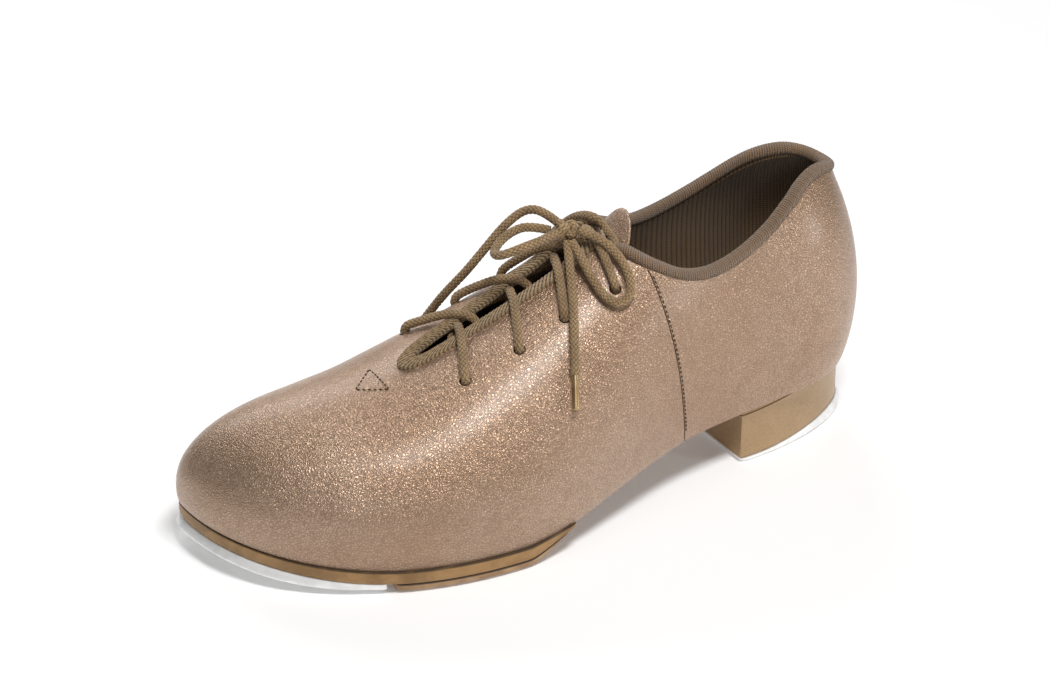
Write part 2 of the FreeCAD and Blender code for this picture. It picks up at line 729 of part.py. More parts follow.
def half_lace(first_to_far):
    pts = [on_upper(163.0, 0.8, BELOW)[0]]
    to_far = first_to_far
    for row in range(4):
        pts += crossing(row, to_far)
        to_far = not to_far
    side = -1 if to_far is False else 1
    ex, ey = (EYELETS if to_far else MEDIAL_EYELETS)[3]
    return pts, side


def finish(pts, y):
    """From the top eyelet back under the flap and up to the knot."""
    pts = list(pts)
    pts.append(on_upper(112.5, 1.0 + y * 2.6, BELOW)[0])
    pts.append(on_upper(112.4, 1.0 + y, BELOW + 1.0)[0])
    pts.append(V(113.4, 1.5 + y * 0.8, KNOT.z - 3.2))
    return pts


near_half, _ = half_lace(True)
far_half, _ = half_lace(False)
near_half = finish(near_half, 3.0)
far_half = finish(far_half, -3.0)
add("lace_half_a", cord(near_half, LACE, "lace_half_a"))
add("lace_half_b", cord(far_half, LACE, "lace_half_b"))

# ---- the bow
knot = Part.makeSphere(5.0, V(0, 0, 0))
squash = FreeCAD.Matrix()
squash.scale(V(1.0, 0.86, 0.8))
squash.move(KNOT)
knot = knot.transformGeometry(squash)
add("lace_knot", knot)

TOE_LOOP = [(123.2, 1.2, 96.6), (128.0, -4.6, 97.2), (134.0, -6.4, 95.6), (140.5, -4.8, 93.2), (145.0, 0.0, 92.4),
            (144.2, 5.4, 94.4), (137.5, 7.4, 96.6), (129.5, 7.2, 97.2), (123.0, 5.4, 97.4)]
SIDE_LOOP = [(114.8, 6.4, 96.4), (110.8, 11.6, 95.4), (107.4, 18.8, 91.6), (106.0, 24.6, 86.0), (107.4, 28.4, 80.6),
             (112.4, 29.2, 77.6), (116.6, 25.6, 80.2), (118.0, 18.6, 86.0), (118.0, 12.6, 90.2), (118.6, 7.6, 94.0)]
NEAR_END = [(119.4, 6.2, 93.6), (121.4, 10.8, 89.2), (124.2, 17.0, 83.2), (128.4, 25.4, 76.4), (132.4, 32.4, 69.0),
            (135.6, 38.0, 61.6)]
FAR_END = [(119.0, -0.6, 97.6), (121.6, -6.4, 100.6), (125.4, -12.2, 99.4), (130.8, -16.4, 92.8), (136.8, -19.2, 84.2),
           (143.0, -23.0, 74.4), (148.4, -29.6, 64.0), (151.6, -35.6, 53.6)]
add("bow_loop_toe", cord(TOE_LOOP, LACE, "bow_loop_toe"))
add("bow_loop_side", cord(SIDE_LOOP, LACE, "bow_loop_side"))
add("lace_end_near", cord(NEAR_END, LACE, "lace_end_near"))
add("lace_end_far", cord(FAR_END, LACE, "lace_end_far"))
for name, route in (("aglet_near", NEAR_END), ("aglet_far", FAR_END)):
    start = V(*route[-1])
    way = start - V(*route[-2])
    way.normalize()
    add(name, Part.makeCylinder(size("aglet_d") / 2, size("aglet_len"), start, way))

# ---- stitching: short thread runs lying on the leather
THREAD = 0.3
STITCH = 1.9
PITCH = 2.7


def stitches(points):
    """Threads along a path on the leather, each in the middle of its pitch."""
    runs = [(points[i + 1] - points[i]).Length for i in range(len(points) - 1)]
    count = int(sum(runs) / PITCH)
    solids = []
    for k in range(count):
        way = (k + 0.5) * sum(runs) / count
        i = 0
        while i < len(runs) - 1 and way > runs[i]:
            way -= runs[i]
            i += 1
        along_run = (points[i + 1] - points[i]) * (1 / runs[i])
        middle_point = points[i] + along_run * way
        solids.append(Part.makeCylinder(THREAD, STITCH, middle_point - along_run * (STITCH / 2), along_run))
    return solids


TACK = [(197.6, -1.6), (189.3, 6.6), (188.6, -8.4), (197.6, -1.6)]
tack_points = []
for i in range(3):
    (xa, ya), (xb, yb) = TACK[i], TACK[i + 1]
    for k in range(4):
        f = k / 4.0
        tack_points.append(on_upper(xa + (xb - xa) * f, ya + (yb - ya) * f, THREAD + 0.25)[0])
tack_points.append(tack_points[0])
add("tongue_tack_stitching", Part.makeCompound(stitches(tack_points)))


def seam_path(side, shift):
    """Points on the leather beside the quarter seam, from the feather up to the topline."""
    pts = []
    base = feather_z(HINGE_X)
    u_guess = math.acos(1 - 2 * (HINGE_X - WIDE_END[0]) / (WIDE_END[1] - WIDE_END[0])) / math.pi
    for k in range(4, 40):
        a = k / 40.0
        u = u_guess
        for _ in range(6):
            p = upper_point(u, a, side, THREAD + 0.25)
            want = HINGE_X + shift + (p.z - base) * SEAM_SLANT
            u += (want - p.x) / 390.0
        p = upper_point(u, a, side, THREAD + 0.25)
        if p.z < TOPLINE(p.x) - 1.5:
            pts.append(p)
    return pts


seam = []
for side in (1, -1):
    seam += stitches(seam_path(side, -2.0))
add("seam_stitching", Part.makeCompound(seam))

doc.recompute()

# ---------------------------------------------------------------- checks and files
total = None
for obj in made:
    state = " ".join(obj.State)
    shape = obj.Shape
    bad = "Invalid" in state or "Error" in state
    if bad or shape.isNull() or not shape.isValid():
        raise RuntimeError("%s is not sound: %s" % (obj.Label, state))
    if shape.Volume <= 0:
        raise RuntimeError("%s has no volume" % obj.Label)
    print("%-22s solids %3d  volume %9.1f mm3" % (obj.Label, len(shape.Solids), shape.Volume))
    shape.exportStep("parts/%s.step" % obj.Label)
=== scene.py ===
# %% [markdown]
# # A tap shoe, dressed around its frame
# The frame is the shoe's working parts at their real places.  This file adds what the eye sees: grained
# leather, knitted edges, braided lace and bright taps.  Everything is in metres.  The soles, the taps, the heel,
# the tongue and the laces follow one of three bodies: the forepart, the heel part or the tongue; the upper,
# its inner layers, the knitted edges and the seam's stitches are tied to no body.

# %% Load the frame
import math
import bpy
import numpy as np
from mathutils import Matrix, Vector


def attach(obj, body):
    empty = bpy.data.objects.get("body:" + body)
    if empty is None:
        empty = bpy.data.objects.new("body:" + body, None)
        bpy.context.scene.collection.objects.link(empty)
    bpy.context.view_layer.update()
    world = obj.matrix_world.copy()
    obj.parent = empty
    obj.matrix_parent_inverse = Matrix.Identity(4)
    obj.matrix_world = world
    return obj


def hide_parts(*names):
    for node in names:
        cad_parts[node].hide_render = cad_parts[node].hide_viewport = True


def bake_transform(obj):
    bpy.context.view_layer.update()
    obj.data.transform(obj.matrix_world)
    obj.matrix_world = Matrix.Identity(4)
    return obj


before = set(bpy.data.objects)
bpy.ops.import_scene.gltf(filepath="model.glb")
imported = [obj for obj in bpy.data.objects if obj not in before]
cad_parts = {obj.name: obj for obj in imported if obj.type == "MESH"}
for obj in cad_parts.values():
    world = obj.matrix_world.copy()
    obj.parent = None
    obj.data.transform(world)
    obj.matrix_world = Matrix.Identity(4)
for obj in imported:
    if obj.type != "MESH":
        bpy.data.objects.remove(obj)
bpy.context.view_layer.update()

# %% [markdown]
# ## Camera
# A long lens from the outer side of the toe shows the vamp, the lacing and the side of the heel at once.
# The camera is aimed with a direction, so that no roll creeps in.

# %% Camera
VIEW_BACK = Vector((0.4505, 0.7497, 0.4848))
bpy.ops.object.camera_add(location=(0.54434, 0.89217, 0.63152))
camera = bpy.context.object
camera.data.lens = 119.31
camera.data.sensor_width = 36.0
camera.rotation_mode = "QUATERNION"
camera.rotation_quaternion = (-VIEW_BACK).to_track_quat("-Z", "Y")
camera.data.clip_end = 20.0
bpy.context.scene.camera = camera

# %% [markdown]
# ## The last's shape
# A shoe is pulled over a last.  Its shape is worked out here from three lines: the feather edge where the
# leather meets the sole, the widest line, and the ridge over the instep.  Rounded sections join them.
# Working it out with formulas lets every layer, from leather to lining, lie on the same form.  The
# numbers are millimetres from the back of the heel, and placed() turns them into metres in the frame.

# %% Curves of the last
MIDDLE = np.array((126.2, 3.5, 0.0))


def placed(points):
    return (np.asarray(points, float) - MIDDLE) / 1000.0


def smooth(points):
    """A smooth curve through a few points."""
    xs, ys = np.array(points, float).T
    step = np.diff(xs)
    rise = np.diff(ys) / step
    inner = (rise[:-1] * step[1:] + rise[1:] * step[:-1]) / (step[:-1] + step[1:])
    slope = np.concatenate([rise[:1], inner, rise[-1:]])

    def curve(x):
        x = np.clip(np.asarray(x, float), xs[0], xs[-1])
        i = np.searchsorted(xs[1:-1], x, side="left")
        t = (x - xs[i]) / step[i]
        low = (2 * t ** 3 - 3 * t ** 2 + 1) * ys[i] + (t ** 3 - 2 * t ** 2 + t) * step[i] * slope[i]
        return low + (3 * t ** 2 - 2 * t ** 3) * ys[i + 1] + (t ** 3 - t ** 2) * step[i] * slope[i + 1]

    return curve


def quarter(s, start, end, power=2.0, root=2.0):
    """From start, level, to end, square on, as s goes from 0 to 1."""
    return end + (start - end) * (1 - np.clip(s, 0.0, 1.0) ** power) ** (1 / root)


TIP_Y = -22.0
TAP = 3.0
SOLE = 8.0
FLAT_FROM = 158.0
FLAT_TO = 196.0
SPRING = 8.0 / 60.0 ** 2
SHANK = smooth([(-12, 25.4), (0, 24.5), (30, 22), (60, 19.5), (85, 18), (110, 15), (135, 11), (FLAT_FROM, SOLE)])
MIDDLES = {
    ("wide", 1): ([(34, 30), (60, 31), (90, 35), (120, 43), (145, 49), (160, 50)], 2.0),
    ("wide", -1): ([(34, -30), (60, -30), (90, -29), (120, -31), (150, -37), (180, -42), (198, -43)], 2.6),
    ("foot", 1): ([(34, 27), (60, 27.5), (90, 31), (120, 39.5), (145, 46.5), (160, 48)], 2.0),
    ("foot", -1): ([(34, -27), (60, -26), (90, -22), (120, -24), (150, -34), (180, -40.5), (198, -41)], 2.6),
}
ENDS = {"wide": (0.0, 254.0), "foot": (5.5, 251.5), "ridge": (3.0, 254.0)}
WIDE_UP = smooth([(0, 26), (60, 26), (95, 25), (125, 22), (150, 18), (185, 14), (225, 10), (256, 4)])
RIDGE_Z = smooth([(0, 104), (35, 103.5), (60, 103), (80, 99.5), (95, 97), (109, 92), (122, 84),
                  (142, 75), (160, 68), (181, 60), (200, 53)])
TONGUE_Z = smooth([(60, 130), (80, 116), (92, 106), (97, 100.5), (101, 95.8), (105, 93.6), (109, 92), (122, 84),
                   (142, 75), (160, 68), (181, 60), (200, 53)])
RIDGE_Y = smooth([(-12, 0), (30, 0), (60, 0), (109, 2), (142, 3), (181, 1), (210, -6), (235, -15), (254, TIP_Y)])
ROUND = {1: smooth([(-12, 2), (30, 2), (60, 2), (100, 2.0), (125, 1.9), (150, 1.9), (175, 2.0), (250, 2.1)]),
         -1: smooth([(-12, 2), (30, 2), (60, 2), (100, 2.1), (125, 2.2), (200, 2.2), (250, 2.1)])}
TOPLINE = smooth([(-12, 87), (3, 90), (12, 94), (20, 95.5), (28, 94), (36, 90), (45, 85), (55, 80.5), (65, 77.5),
                  (75, 76.5), (85, 78.5), (95, 83.5), (105, 89), (114, 93)])
LOWER_SHARE = 0.22
TOE_FROM, TOE_HEIGHT = 200.0, 53.0
TOE_BLEND, TOE_BLEND_RUN = 0.0058, 16.0
TIP_RISE = 3.5
FOOT_DROP = 1.2
HINGE_X = 87.0
SEAM_SLANT = 0.16


def feather_z(x):
    return np.where(x < FLAT_FROM, SHANK(x), SOLE + SPRING * np.maximum(0.0, x - FLAT_TO) ** 2)


def plan(x, line, side, grow=0.0):
    """Half width at x of the widest line or the foot line."""
    points, power = MIDDLES[line, side]
    heel, toe = ENDS[line]
    curve = smooth(points)
    first, last = points[0][0], points[-1][0]
    back = quarter((first - x) / (first - heel + grow), curve(first) + side * grow, 0.0)
    front = quarter((x - last) / (toe + grow - last), curve(last) + side * grow, TIP_Y, power, power)
    return np.where(x < first, back, np.where(x > last, front, curve(x) + side * grow))


def along(u, ends, grow):
    return ends[0] - grow + (ends[1] - ends[0] + 2 * grow) * 0.5 * (1 - np.cos(math.pi * u))


def lean(x, z):
    """The heel's back is bowed out low down and leans forward at the top."""
    h = (z - 24) / 66
    shift = -3.0 * np.sin(np.clip(h, 0, 1) * math.pi * 0.85) + 7.5 * np.clip(h, 0, 2) ** 2.2
    return shift * np.clip(1 - x / 80, 0, 1) ** 1.5


def side_point(u, a, side, grow=0.0, tongue=False):
    """Points of one side of the last: u from heel 0 to toe 1, a from feather 0 to ridge 1."""
    xf, xw, xr = (along(u, ENDS[line], grow) for line in ("foot", "wide", "ridge"))
    foot = np.stack([xf, plan(xf, "foot", side, grow), feather_z(xf) - FOOT_DROP], -1)
    wide = np.stack([xw, plan(xw, "wide", side, grow), feather_z(xw) + WIDE_UP(xw)], -1)
    end = ENDS["ridge"][1] + grow
    tip = feather_z(end) + WIDE_UP(end) + TIP_RISE - grow
    over_toe = quarter((xr - TOE_FROM) / (end - TOE_FROM), TOE_HEIGHT, tip, 1.9)
    top = np.where(xr <= TOE_FROM, (TONGUE_Z if tongue else RIDGE_Z)(xr), over_toe)
    top = top + TOE_BLEND * np.maximum(0.0, TOE_BLEND_RUN - np.abs(xr - TOE_FROM)) ** 2
    ridge = np.stack([xr, RIDGE_Y(along(u, ENDS["ridge"], 0.0)), top + grow], -1)
    low = np.clip(a / LOWER_SHARE, 0, 1) * math.pi / 2
    high = np.clip((a - LOWER_SHARE) / (1 - LOWER_SHARE), 0, 1) * math.pi / 2
    n = 2 / ROUND[side](xw)
    under = foot + (wide - foot) * np.sin(low)[..., None]
    under[..., 2] = foot[..., 2] + (wide[..., 2] - foot[..., 2]) * (1 - np.cos(low))
    over = ridge + (wide - ridge) * (np.maximum(np.cos(high), 0.0) ** n)[..., None]
    over[..., 2] = wide[..., 2] + (ridge[..., 2] - wide[..., 2]) * np.sin(high) ** n
    out = np.where((a <= LOWER_SHARE)[..., None], under, over)
    out[..., 0] += lean(out[..., 0], out[..., 2])
    return out


def last_point(u, a, side, grow=0.0, tongue=False):
    """The same for arrays in which side is 1 or -1 point by point."""
    u, a, side = np.broadcast_arrays(np.asarray(u, float), np.asarray(a, float), np.asarray(side))
    lateral = side_point(u, a, 1, grow, tongue)
    medial = side_point(u, a, -1, grow, tongue)
    return np.where((side > 0)[..., None], lateral, medial)


def on_last(x, y, height=0.0, grow=0.0, tongue=False):
    """The point of the last under x and y, raised along the surface's normal, and that normal."""
    x, y, height = np.broadcast_arrays(*(np.asarray(v, float) for v in (x, y, height)))
    side = np.where(y > RIDGE_Y(x), 1, -1)
    aim = x.copy()
    heel, toe = ENDS["wide"]
    for _ in range(4):
        u = np.arccos(np.clip(1 - 2 * (aim - heel) / (toe - heel), -1, 1)) / math.pi
        low, high = np.full(x.shape, LOWER_SHARE), np.ones(x.shape)
        for _ in range(22):
            a = (low + high) / 2
            wider = last_point(u, a, side, grow, tongue)[..., 1] * side > y * side
            low, high = np.where(wider, a, low), np.where(wider, high, a)
        a = (low + high) / 2
        aim = aim + x - last_point(u, a, side, grow, tongue)[..., 0]
    step = 0.004
    p = last_point(u, a, side, grow, tongue)
    du = last_point(u + step, a, side, grow, tongue) - last_point(u - step, a, side, grow, tongue)
    da = last_point(u, np.minimum(a + step, 1), side, grow, tongue) - last_point(u, a - step, side, grow, tongue)
    normal = np.cross(du, da)
    normal /= np.linalg.norm(normal, axis=-1, keepdims=True)
    normal = np.where(normal[..., 2:] < 0, -normal, normal)
    return p + normal * height[..., None], normal


print("toe tip", placed(last_point(1.0, LOWER_SHARE, 1)), "heel back", placed(last_point(0.0, LOWER_SHARE, 1)))

# %% [markdown]
# ## Laces, route first
# The lace is a round braid of 3 mm.  Two halves climb the eyelets, and beyond the knot a small bow and two
# ends are free.  A cord's line comes first, as a NURBS spline through the few points that guide it, because
# everything else on it, from the braid to its metal tips, follows that line.

# %% Lace routes
LACE = 1.5
LEATHER = 1.2
LINING = 1.9
OVER = LACE + 0.9
BELOW = -(LINING + LACE + 0.25)
KNOT = np.array((118.5, 3.5, 96.5))
EYELETS = [(168.3, 21.4), (147.9, 22.4), (129.8, 21.7), (111.0, 23.6)]
MEDIAL_EYELETS = [(x, -y + 1.4) for x, y in EYELETS]
RISE_A = [152.5, 132.2, 114.6, 102.5]
RISE_B = [157.8, 137.4, 119.8, 107.6]


def crossing(row, to_medial):
    """One strand of a row: up through the gap, over the other flap and down its eyelet."""
    x, gap, sign = (RISE_A[row], 2.6, -1) if to_medial else (RISE_B[row], -0.9, 1)
    ex, ey = (MEDIAL_EYELETS if to_medial else EYELETS)[row]
    steps = [(x, gap - sign * 9.0, BELOW), (x + 0.3, gap - sign * 1.2, BELOW + 0.4),
             (x + 0.8, gap + sign * 1.6, LACE + 0.6),
             (x + (ex - x) * 0.3, gap + (ey - gap) * 0.38, LACE + 1.6),
             (x + (ex - x) * 0.72, gap + (ey - gap) * 0.74, OVER), (ex, ey, LACE + 0.7), (ex, ey, BELOW)]
    return [on_last(*step)[0] for step in steps]


def half_lace(to_medial, y):
    """From the bar under the lowest eyelets, through four rows, and back up to the knot."""
    route = [on_last(163.0, 0.8, BELOW)[0]]
    for row in range(4):
        route += crossing(row, to_medial)
        to_medial = not to_medial
    route.append(on_last(112.5, 1.0 + y * 2.6, BELOW)[0])
    route.append(on_last(112.4, 1.0 + y, BELOW + 1.0)[0])
    route.append(np.array((113.4, 1.5 + y * 0.8, KNOT[2] - 3.2)))
    return route


ROUTES = {
    "lace_half_a": half_lace(True, 3.0),
    "lace_half_b": half_lace(False, -3.0),
    "bow_loop_toe": [(123.2, 1.2, 96.6), (128.0, -4.6, 97.2), (134.0, -6.4, 95.6), (140.5, -4.8, 93.2),
                     (145.0, 0.0, 92.4), (144.2, 5.4, 94.4), (137.5, 7.4, 96.6), (129.5, 7.2, 97.2),
                     (123.0, 5.4, 97.4)],
    "bow_loop_side": [(114.8, 6.4, 96.4), (110.8, 11.6, 95.4), (107.4, 18.8, 91.6), (106.0, 24.6, 86.0),
                      (107.4, 28.4, 80.6), (112.4, 29.2, 77.6), (116.6, 25.6, 80.2), (118.0, 18.6, 86.0),
                      (118.0, 12.6, 90.2), (118.6, 7.6, 94.0)],
    "lace_end_near": [(119.4, 6.2, 93.6), (121.4, 10.8, 89.2), (124.2, 17.0, 83.2), (128.4, 25.4, 76.4),
                      (132.4, 32.4, 69.0), (135.6, 38.0, 61.6)],
    "lace_end_far": [(119.0, -0.6, 97.6), (121.6, -6.4, 100.6), (125.4, -12.2, 99.4), (130.8, -16.4, 92.8),
                     (136.8, -19.2, 84.2), (143.0, -23.0, 74.4), (148.4, -29.6, 64.0), (151.6, -35.6, 53.6)],
}
turns = np.linspace(0.15, 2 * math.pi - 0.15, 26)
ROUTES["lace_knot"] = KNOT + np.stack([
    1.45 * (np.sin(turns) + 1.15 * np.sin(2 * turns)), 1.3 * (np.cos(turns) - 1.15 * np.cos(2 * turns)),
    -1.9 * np.sin(3 * turns) + 0.2], -1)


def guided_line(name, route):
    """The smooth line of a cord, as the points that Blender itself gives for the spline."""
    data = bpy.data.curves.new(name + "_line", "CURVE")
    data.dimensions = "3D"
    data.resolution_u = 14
    spline = data.splines.new("NURBS")
    spline.points.add(len(route) - 1)
    for point, place in zip(spline.points, placed(route)):
        point.co = (*place, 1.0)
    spline.order_u = 3
    spline.use_endpoint_u = True
    guide = bpy.data.objects.new(name + "_line", data)
    bpy.context.scene.collection.objects.link(guide)
    bpy.context.view_layer.update()
    seen = bpy.data.meshes.new_from_object(guide.evaluated_get(bpy.context.evaluated_depsgraph_get()))
    line = np.array([v.co for v in seen.vertices])
    bpy.data.meshes.remove(seen)
    bpy.data.objects.remove(guide)
    return line


LINES = {name: guided_line(name, route) for name, route in ROUTES.items()}
for name, line in LINES.items():
    print(name, "length mm", round(1000 * np.linalg.norm(np.diff(line, axis=0), axis=1).sum(), 1))

# %% [markdown]
# ## Bending a grid
# Most pieces of a shoe are flat stuff bent to a form: a cut panel, a plate, a strip or a sleeve.  So a flat
# grid is added, its vertices are laid on the form, and doubled edges are merged where it closes on itself.
# A Solidify modifier then gives leather and cloth their real thickness, towards the foot.

# %% Grid helper
def only(obj):
    bpy.ops.object.select_all(action="DESELECT")
    bpy.context.view_layer.objects.active = obj
    obj.select_set(True)


def bent_grid(name, columns, rows, place, wide=1.0, tall=1.0, wall=0.0, merge=0.00001, flip=False, crease=40):
    """A grid laid on place(u, v); wide and tall are its flat size in metres, for patterns that follow it."""
    bpy.ops.object.select_all(action="DESELECT")
    bpy.ops.mesh.primitive_grid_add(x_subdivisions=columns, y_subdivisions=rows, size=2)
    obj = bpy.context.object
    obj.name = obj.data.name = name
    flat = np.zeros(len(obj.data.vertices) * 3)
    obj.data.vertices.foreach_get("co", flat)
    u, v = (flat.reshape(-1, 3)[:, :2].T + 1) / 2
    u = np.round(u * columns) / columns
    v = np.round(v * rows) / rows
    obj.data.vertices.foreach_set("co", placed(place(u, v)).ravel())
    layer = obj.data.uv_layers.active
    uvs = np.zeros(len(layer.data) * 2)
    layer.data.foreach_get("uv", uvs)
    layer.data.foreach_set("uv", (uvs.reshape(-1, 2) * (wide, tall)).ravel())
    bpy.ops.object.mode_set(mode="EDIT")
    bpy.ops.mesh.select_all(action="SELECT")
    bpy.ops.mesh.remove_doubles(threshold=merge)
    bpy.ops.mesh.normals_make_consistent(inside=flip)
    bpy.ops.object.mode_set(mode="OBJECT")
    if wall:
        modifier = obj.modifiers.new("thickness", "SOLIDIFY")
        modifier.thickness = wall / 1000.0
        modifier.offset = -1.0
        bpy.ops.object.modifier_apply(modifier="thickness")
    bpy.ops.object.shade_smooth_by_angle(angle=math.radians(crease))
    print(name, len(obj.data.polygons), "faces")
    return obj


# %% [markdown]
# ## The cut of the leather
# The upper is two panels that meet at a stitched seam over the arch: the vamp in front, and the quarter that
# wraps the heel.  Each is one piece of leather, drawn under the foot and up both sides.  So each grid runs
# from seam to seam, with its first row under the middle of the foot and its last along the cut edge on top.

# %% Edges of the panels
SLOT = [(92, 10), (127, 8.8), (150, 7.6), (168, 6.6), (176.5, 5.2), (180.6, 3), (181.8, 0.4), (180.6, -2.2),
        (176.5, -4.8), (168, -6.4), (150, -7.4), (127, -8.4), (92, -9.6)]
GAP = [(92, 6.4), (127, 5.2), (150, 4.2), (168, 3.2), (174, 2.2), (176.5, 0.6), (174, -1), (168, -1.9),
       (150, -2.6), (127, -3.4), (92, -4.4)]
TOPLINE_FRONT = 114.0
SEAM_BASE = float(feather_z(HINGE_X))
UNDER_SHARE = 0.16
STEEPEST = 390.0


def through(points):
    """A smooth way along a list of points, from 0 to 1 by length, and that length."""
    points = np.array(points, float)
    run = np.concatenate([[0], np.cumsum(np.linalg.norm(np.diff(points, axis=0), axis=1))])
    curves = [smooth(list(zip(run, points[:, k]))) for k in range(points.shape[1])]
    return (lambda t: np.stack([c(np.asarray(t) * run[-1]) for c in curves], -1)), run[-1]


slot_way, SLOT_RUN = through(SLOT)
gap_way, _ = through(GAP)
slot_line = slot_way(np.linspace(0, 1, 400))
front_of_slot = int(np.argmax(slot_line[:, 0]))
SLOT_END = slot_line[front_of_slot, 0]


def slot_y(x, side):
    """Where the cut edge of the throat lies on one side."""
    lateral = np.interp(x, slot_line[:front_of_slot + 1, 0], slot_line[:front_of_slot + 1, 1])
    medial = np.interp(x, slot_line[front_of_slot:][::-1, 0], slot_line[front_of_slot:][::-1, 1])
    return np.where(side > 0, lateral, medial)


def first_row(x):
    """Where the side of the last leaves the flat of the sole."""
    lift = FOOT_DROP / (WIDE_UP(x) + FOOT_DROP)
    return LOWER_SHARE * np.arccos(1 - lift) / (math.pi / 2)


def seam_u(a, side, shift=0.0, grow=0.0):
    """How far along the last the seam lies, at each height."""
    u = np.full(np.shape(a), 0.4)
    for _ in range(14):
        p = last_point(u, a, side, grow)
        u = u + (HINGE_X + shift + (p[..., 2] - SEAM_BASE) * SEAM_SLANT - p[..., 0]) / STEEPEST
    return u


def panel(u, v, grow, front, seam_shift=0.0, rim=0.0, under=True, reach=1.0, low=0.0):
    """Points of the vamp, or of the quarter, moved out by grow; rim lowers the top edge."""
    side = np.where(u < 0.5, -1, 1) if front else np.where(u < 0.5, 1, -1)
    s = 1 - np.abs(2 * u - 1)

    def at(a):
        edge = seam_u(a, side, seam_shift, grow)
        return edge + (reach - edge) * s if front else edge * (1 - s)

    down, up = np.full(u.shape, LOWER_SHARE), np.ones(u.shape)
    for _ in range(14):
        a = (down + up) / 2
        p = last_point(at(a), a, side, grow)
        x, y, z = p[..., 0], p[..., 1], p[..., 2]
        out = (z > TOPLINE(x) - rim) & (x < TOPLINE_FRONT)
        if front:
            out |= (x < SLOT_END) & (y * side < slot_y(x, side) * side + rim)
        down, up = np.where(out, down, a), np.where(out, a, up)
    top = np.where(up >= 1.0, 1.0, (down + up) / 2)
    start = low
    if under:
        start = first_row(last_point(at(np.zeros(u.shape)), np.zeros(u.shape), side, grow)[..., 0])
        v = np.clip((v - UNDER_SHARE) / (1 - UNDER_SHARE), 0, 1) + np.minimum(v - UNDER_SHARE, 0)
    rising = np.clip(v, 0, 1)
    a = start + (top - start) * rising
    p = last_point(at(a), a, side, grow)
    if under:
        inner = v < 0
        share = np.where(inner, 1 + v / UNDER_SHARE, 1.0)
        middle_y = (plan(p[..., 0], "foot", 1) + plan(p[..., 0], "foot", -1)) / 2
        p[..., 1] = middle_y + (p[..., 1] - middle_y) * share
        p[..., 2] = np.where(inner, feather_z(p[..., 0]), np.maximum(p[..., 2], feather_z(p[..., 0])))
    return p


# %% Vamp and quarter leather
vamp = bent_grid("vamp", 240, 56, lambda u, v: panel(u, v, 0.0, True, 0.2), 0.48, 0.13, wall=LEATHER)
quarter_piece = bent_grid("quarter", 190, 52, lambda u, v: panel(u, v, 0.0, False, -0.2), 0.25, 0.12, wall=LEATHER)

# %% [markdown]
# ## Linings, padding and insoles
# Behind the leather are a thin vamp lining, a soft padding and the brown ribbed terry that the heel rests
# against.  The same panel, moved inwards, makes each of them.  The insole board and the cushion sock are
# laid on the flat of the last.

# %% Layers inside
BEHIND_LEATHER = -LEATHER - 0.05
BEHIND_PADDING = -2.25


def inner_layer(name, columns, rows, grow, front, shift, rim, reach, wide, tall, wall, merge=0.00001):
    """A layer behind the leather, which starts a little above the feather edge."""
    return bent_grid(name, columns, rows, lambda u, v: panel(u, v, grow, front, shift, rim, False, reach, 0.03),
                     wide, tall, wall, merge)


vamp_lining = inner_layer("vamp_lining", 150, 34, BEHIND_LEATHER, True, 0.2, 0.3, 0.985, 0.45, 0.10, 0.6, 0.00002)
padding = inner_layer("quarter_padding", 110, 26, BEHIND_LEATHER, False, -0.2, 0.5, 1.0, 0.24, 0.08, 0.8)
terry = inner_layer("terry_lining", 150, 34, BEHIND_PADDING, False, 1.2, 0.0, 1.0, 0.24, 0.08, 1.4)


def plate(name, outline, profile, height, columns=200, wide=0.3, flare=None, crease=35, surface=None):
    """A closed plate inside an outline.  profile has (share, grow, level) rows from its top to its underside,
    and a fourth number where a row also follows flare(x)."""
    share, grow, level, spread = np.array([(*row, 0.0)[:4] for row in profile]).T
    edge = outline(np.linspace(0, 1, columns + 1)[:-1])
    ahead, behind = np.roll(edge, -1, 0), np.roll(edge, 1, 0)
    out = np.stack([(ahead - behind)[:, 1], -(ahead - behind)[:, 0]], -1)
    out /= np.linalg.norm(out, axis=1, keepdims=True)
    area = (edge[:, 0] * ahead[:, 1] - ahead[:, 0] * edge[:, 1]).sum()
    out *= 1 if area > 0 else -1
    low, high = edge[:, 0].min(), edge[:, 0].max()
    half = 0.5 * (edge[:, 1].max() - edge[:, 1].min())

    def place(u, v):
        i = np.round(u * columns).astype(int) % columns
        k = np.round(v * (len(profile) - 1)).astype(int)
        more = grow[k] if flare is None else grow[k] + spread[k] * flare(edge[i, 0])
        rim = edge[i] + out[i] * more[:, None]
        core_x = np.clip(rim[:, 0], low + min(half, (high - low) / 2.2), high - min(half, (high - low) / 2.2))
        core_y = np.interp(core_x, *middle_of(edge))
        core = np.stack([core_x, core_y], -1)
        flat = core + (rim - core) * share[k][:, None]
        if surface is not None:
            return surface(flat[:, 0], flat[:, 1], level[k])
        return np.stack([flat[:, 0], flat[:, 1], height(flat[:, 0], level[k])], -1)

    return bent_grid(name, columns, len(profile) - 1, place, wide, 0.02, merge=0.00002, crease=crease)


def middle_of(edge):
    """The middle line of an outline, as x and y."""
    xs = np.linspace(edge[:, 0].min() + 0.5, edge[:, 0].max() - 0.5, 30)
    spread = [edge[np.abs(edge[:, 0] - x) < 6.0, 1] for x in xs]
    return xs, [0.5 * (s.max() + s.min()) for s in spread]


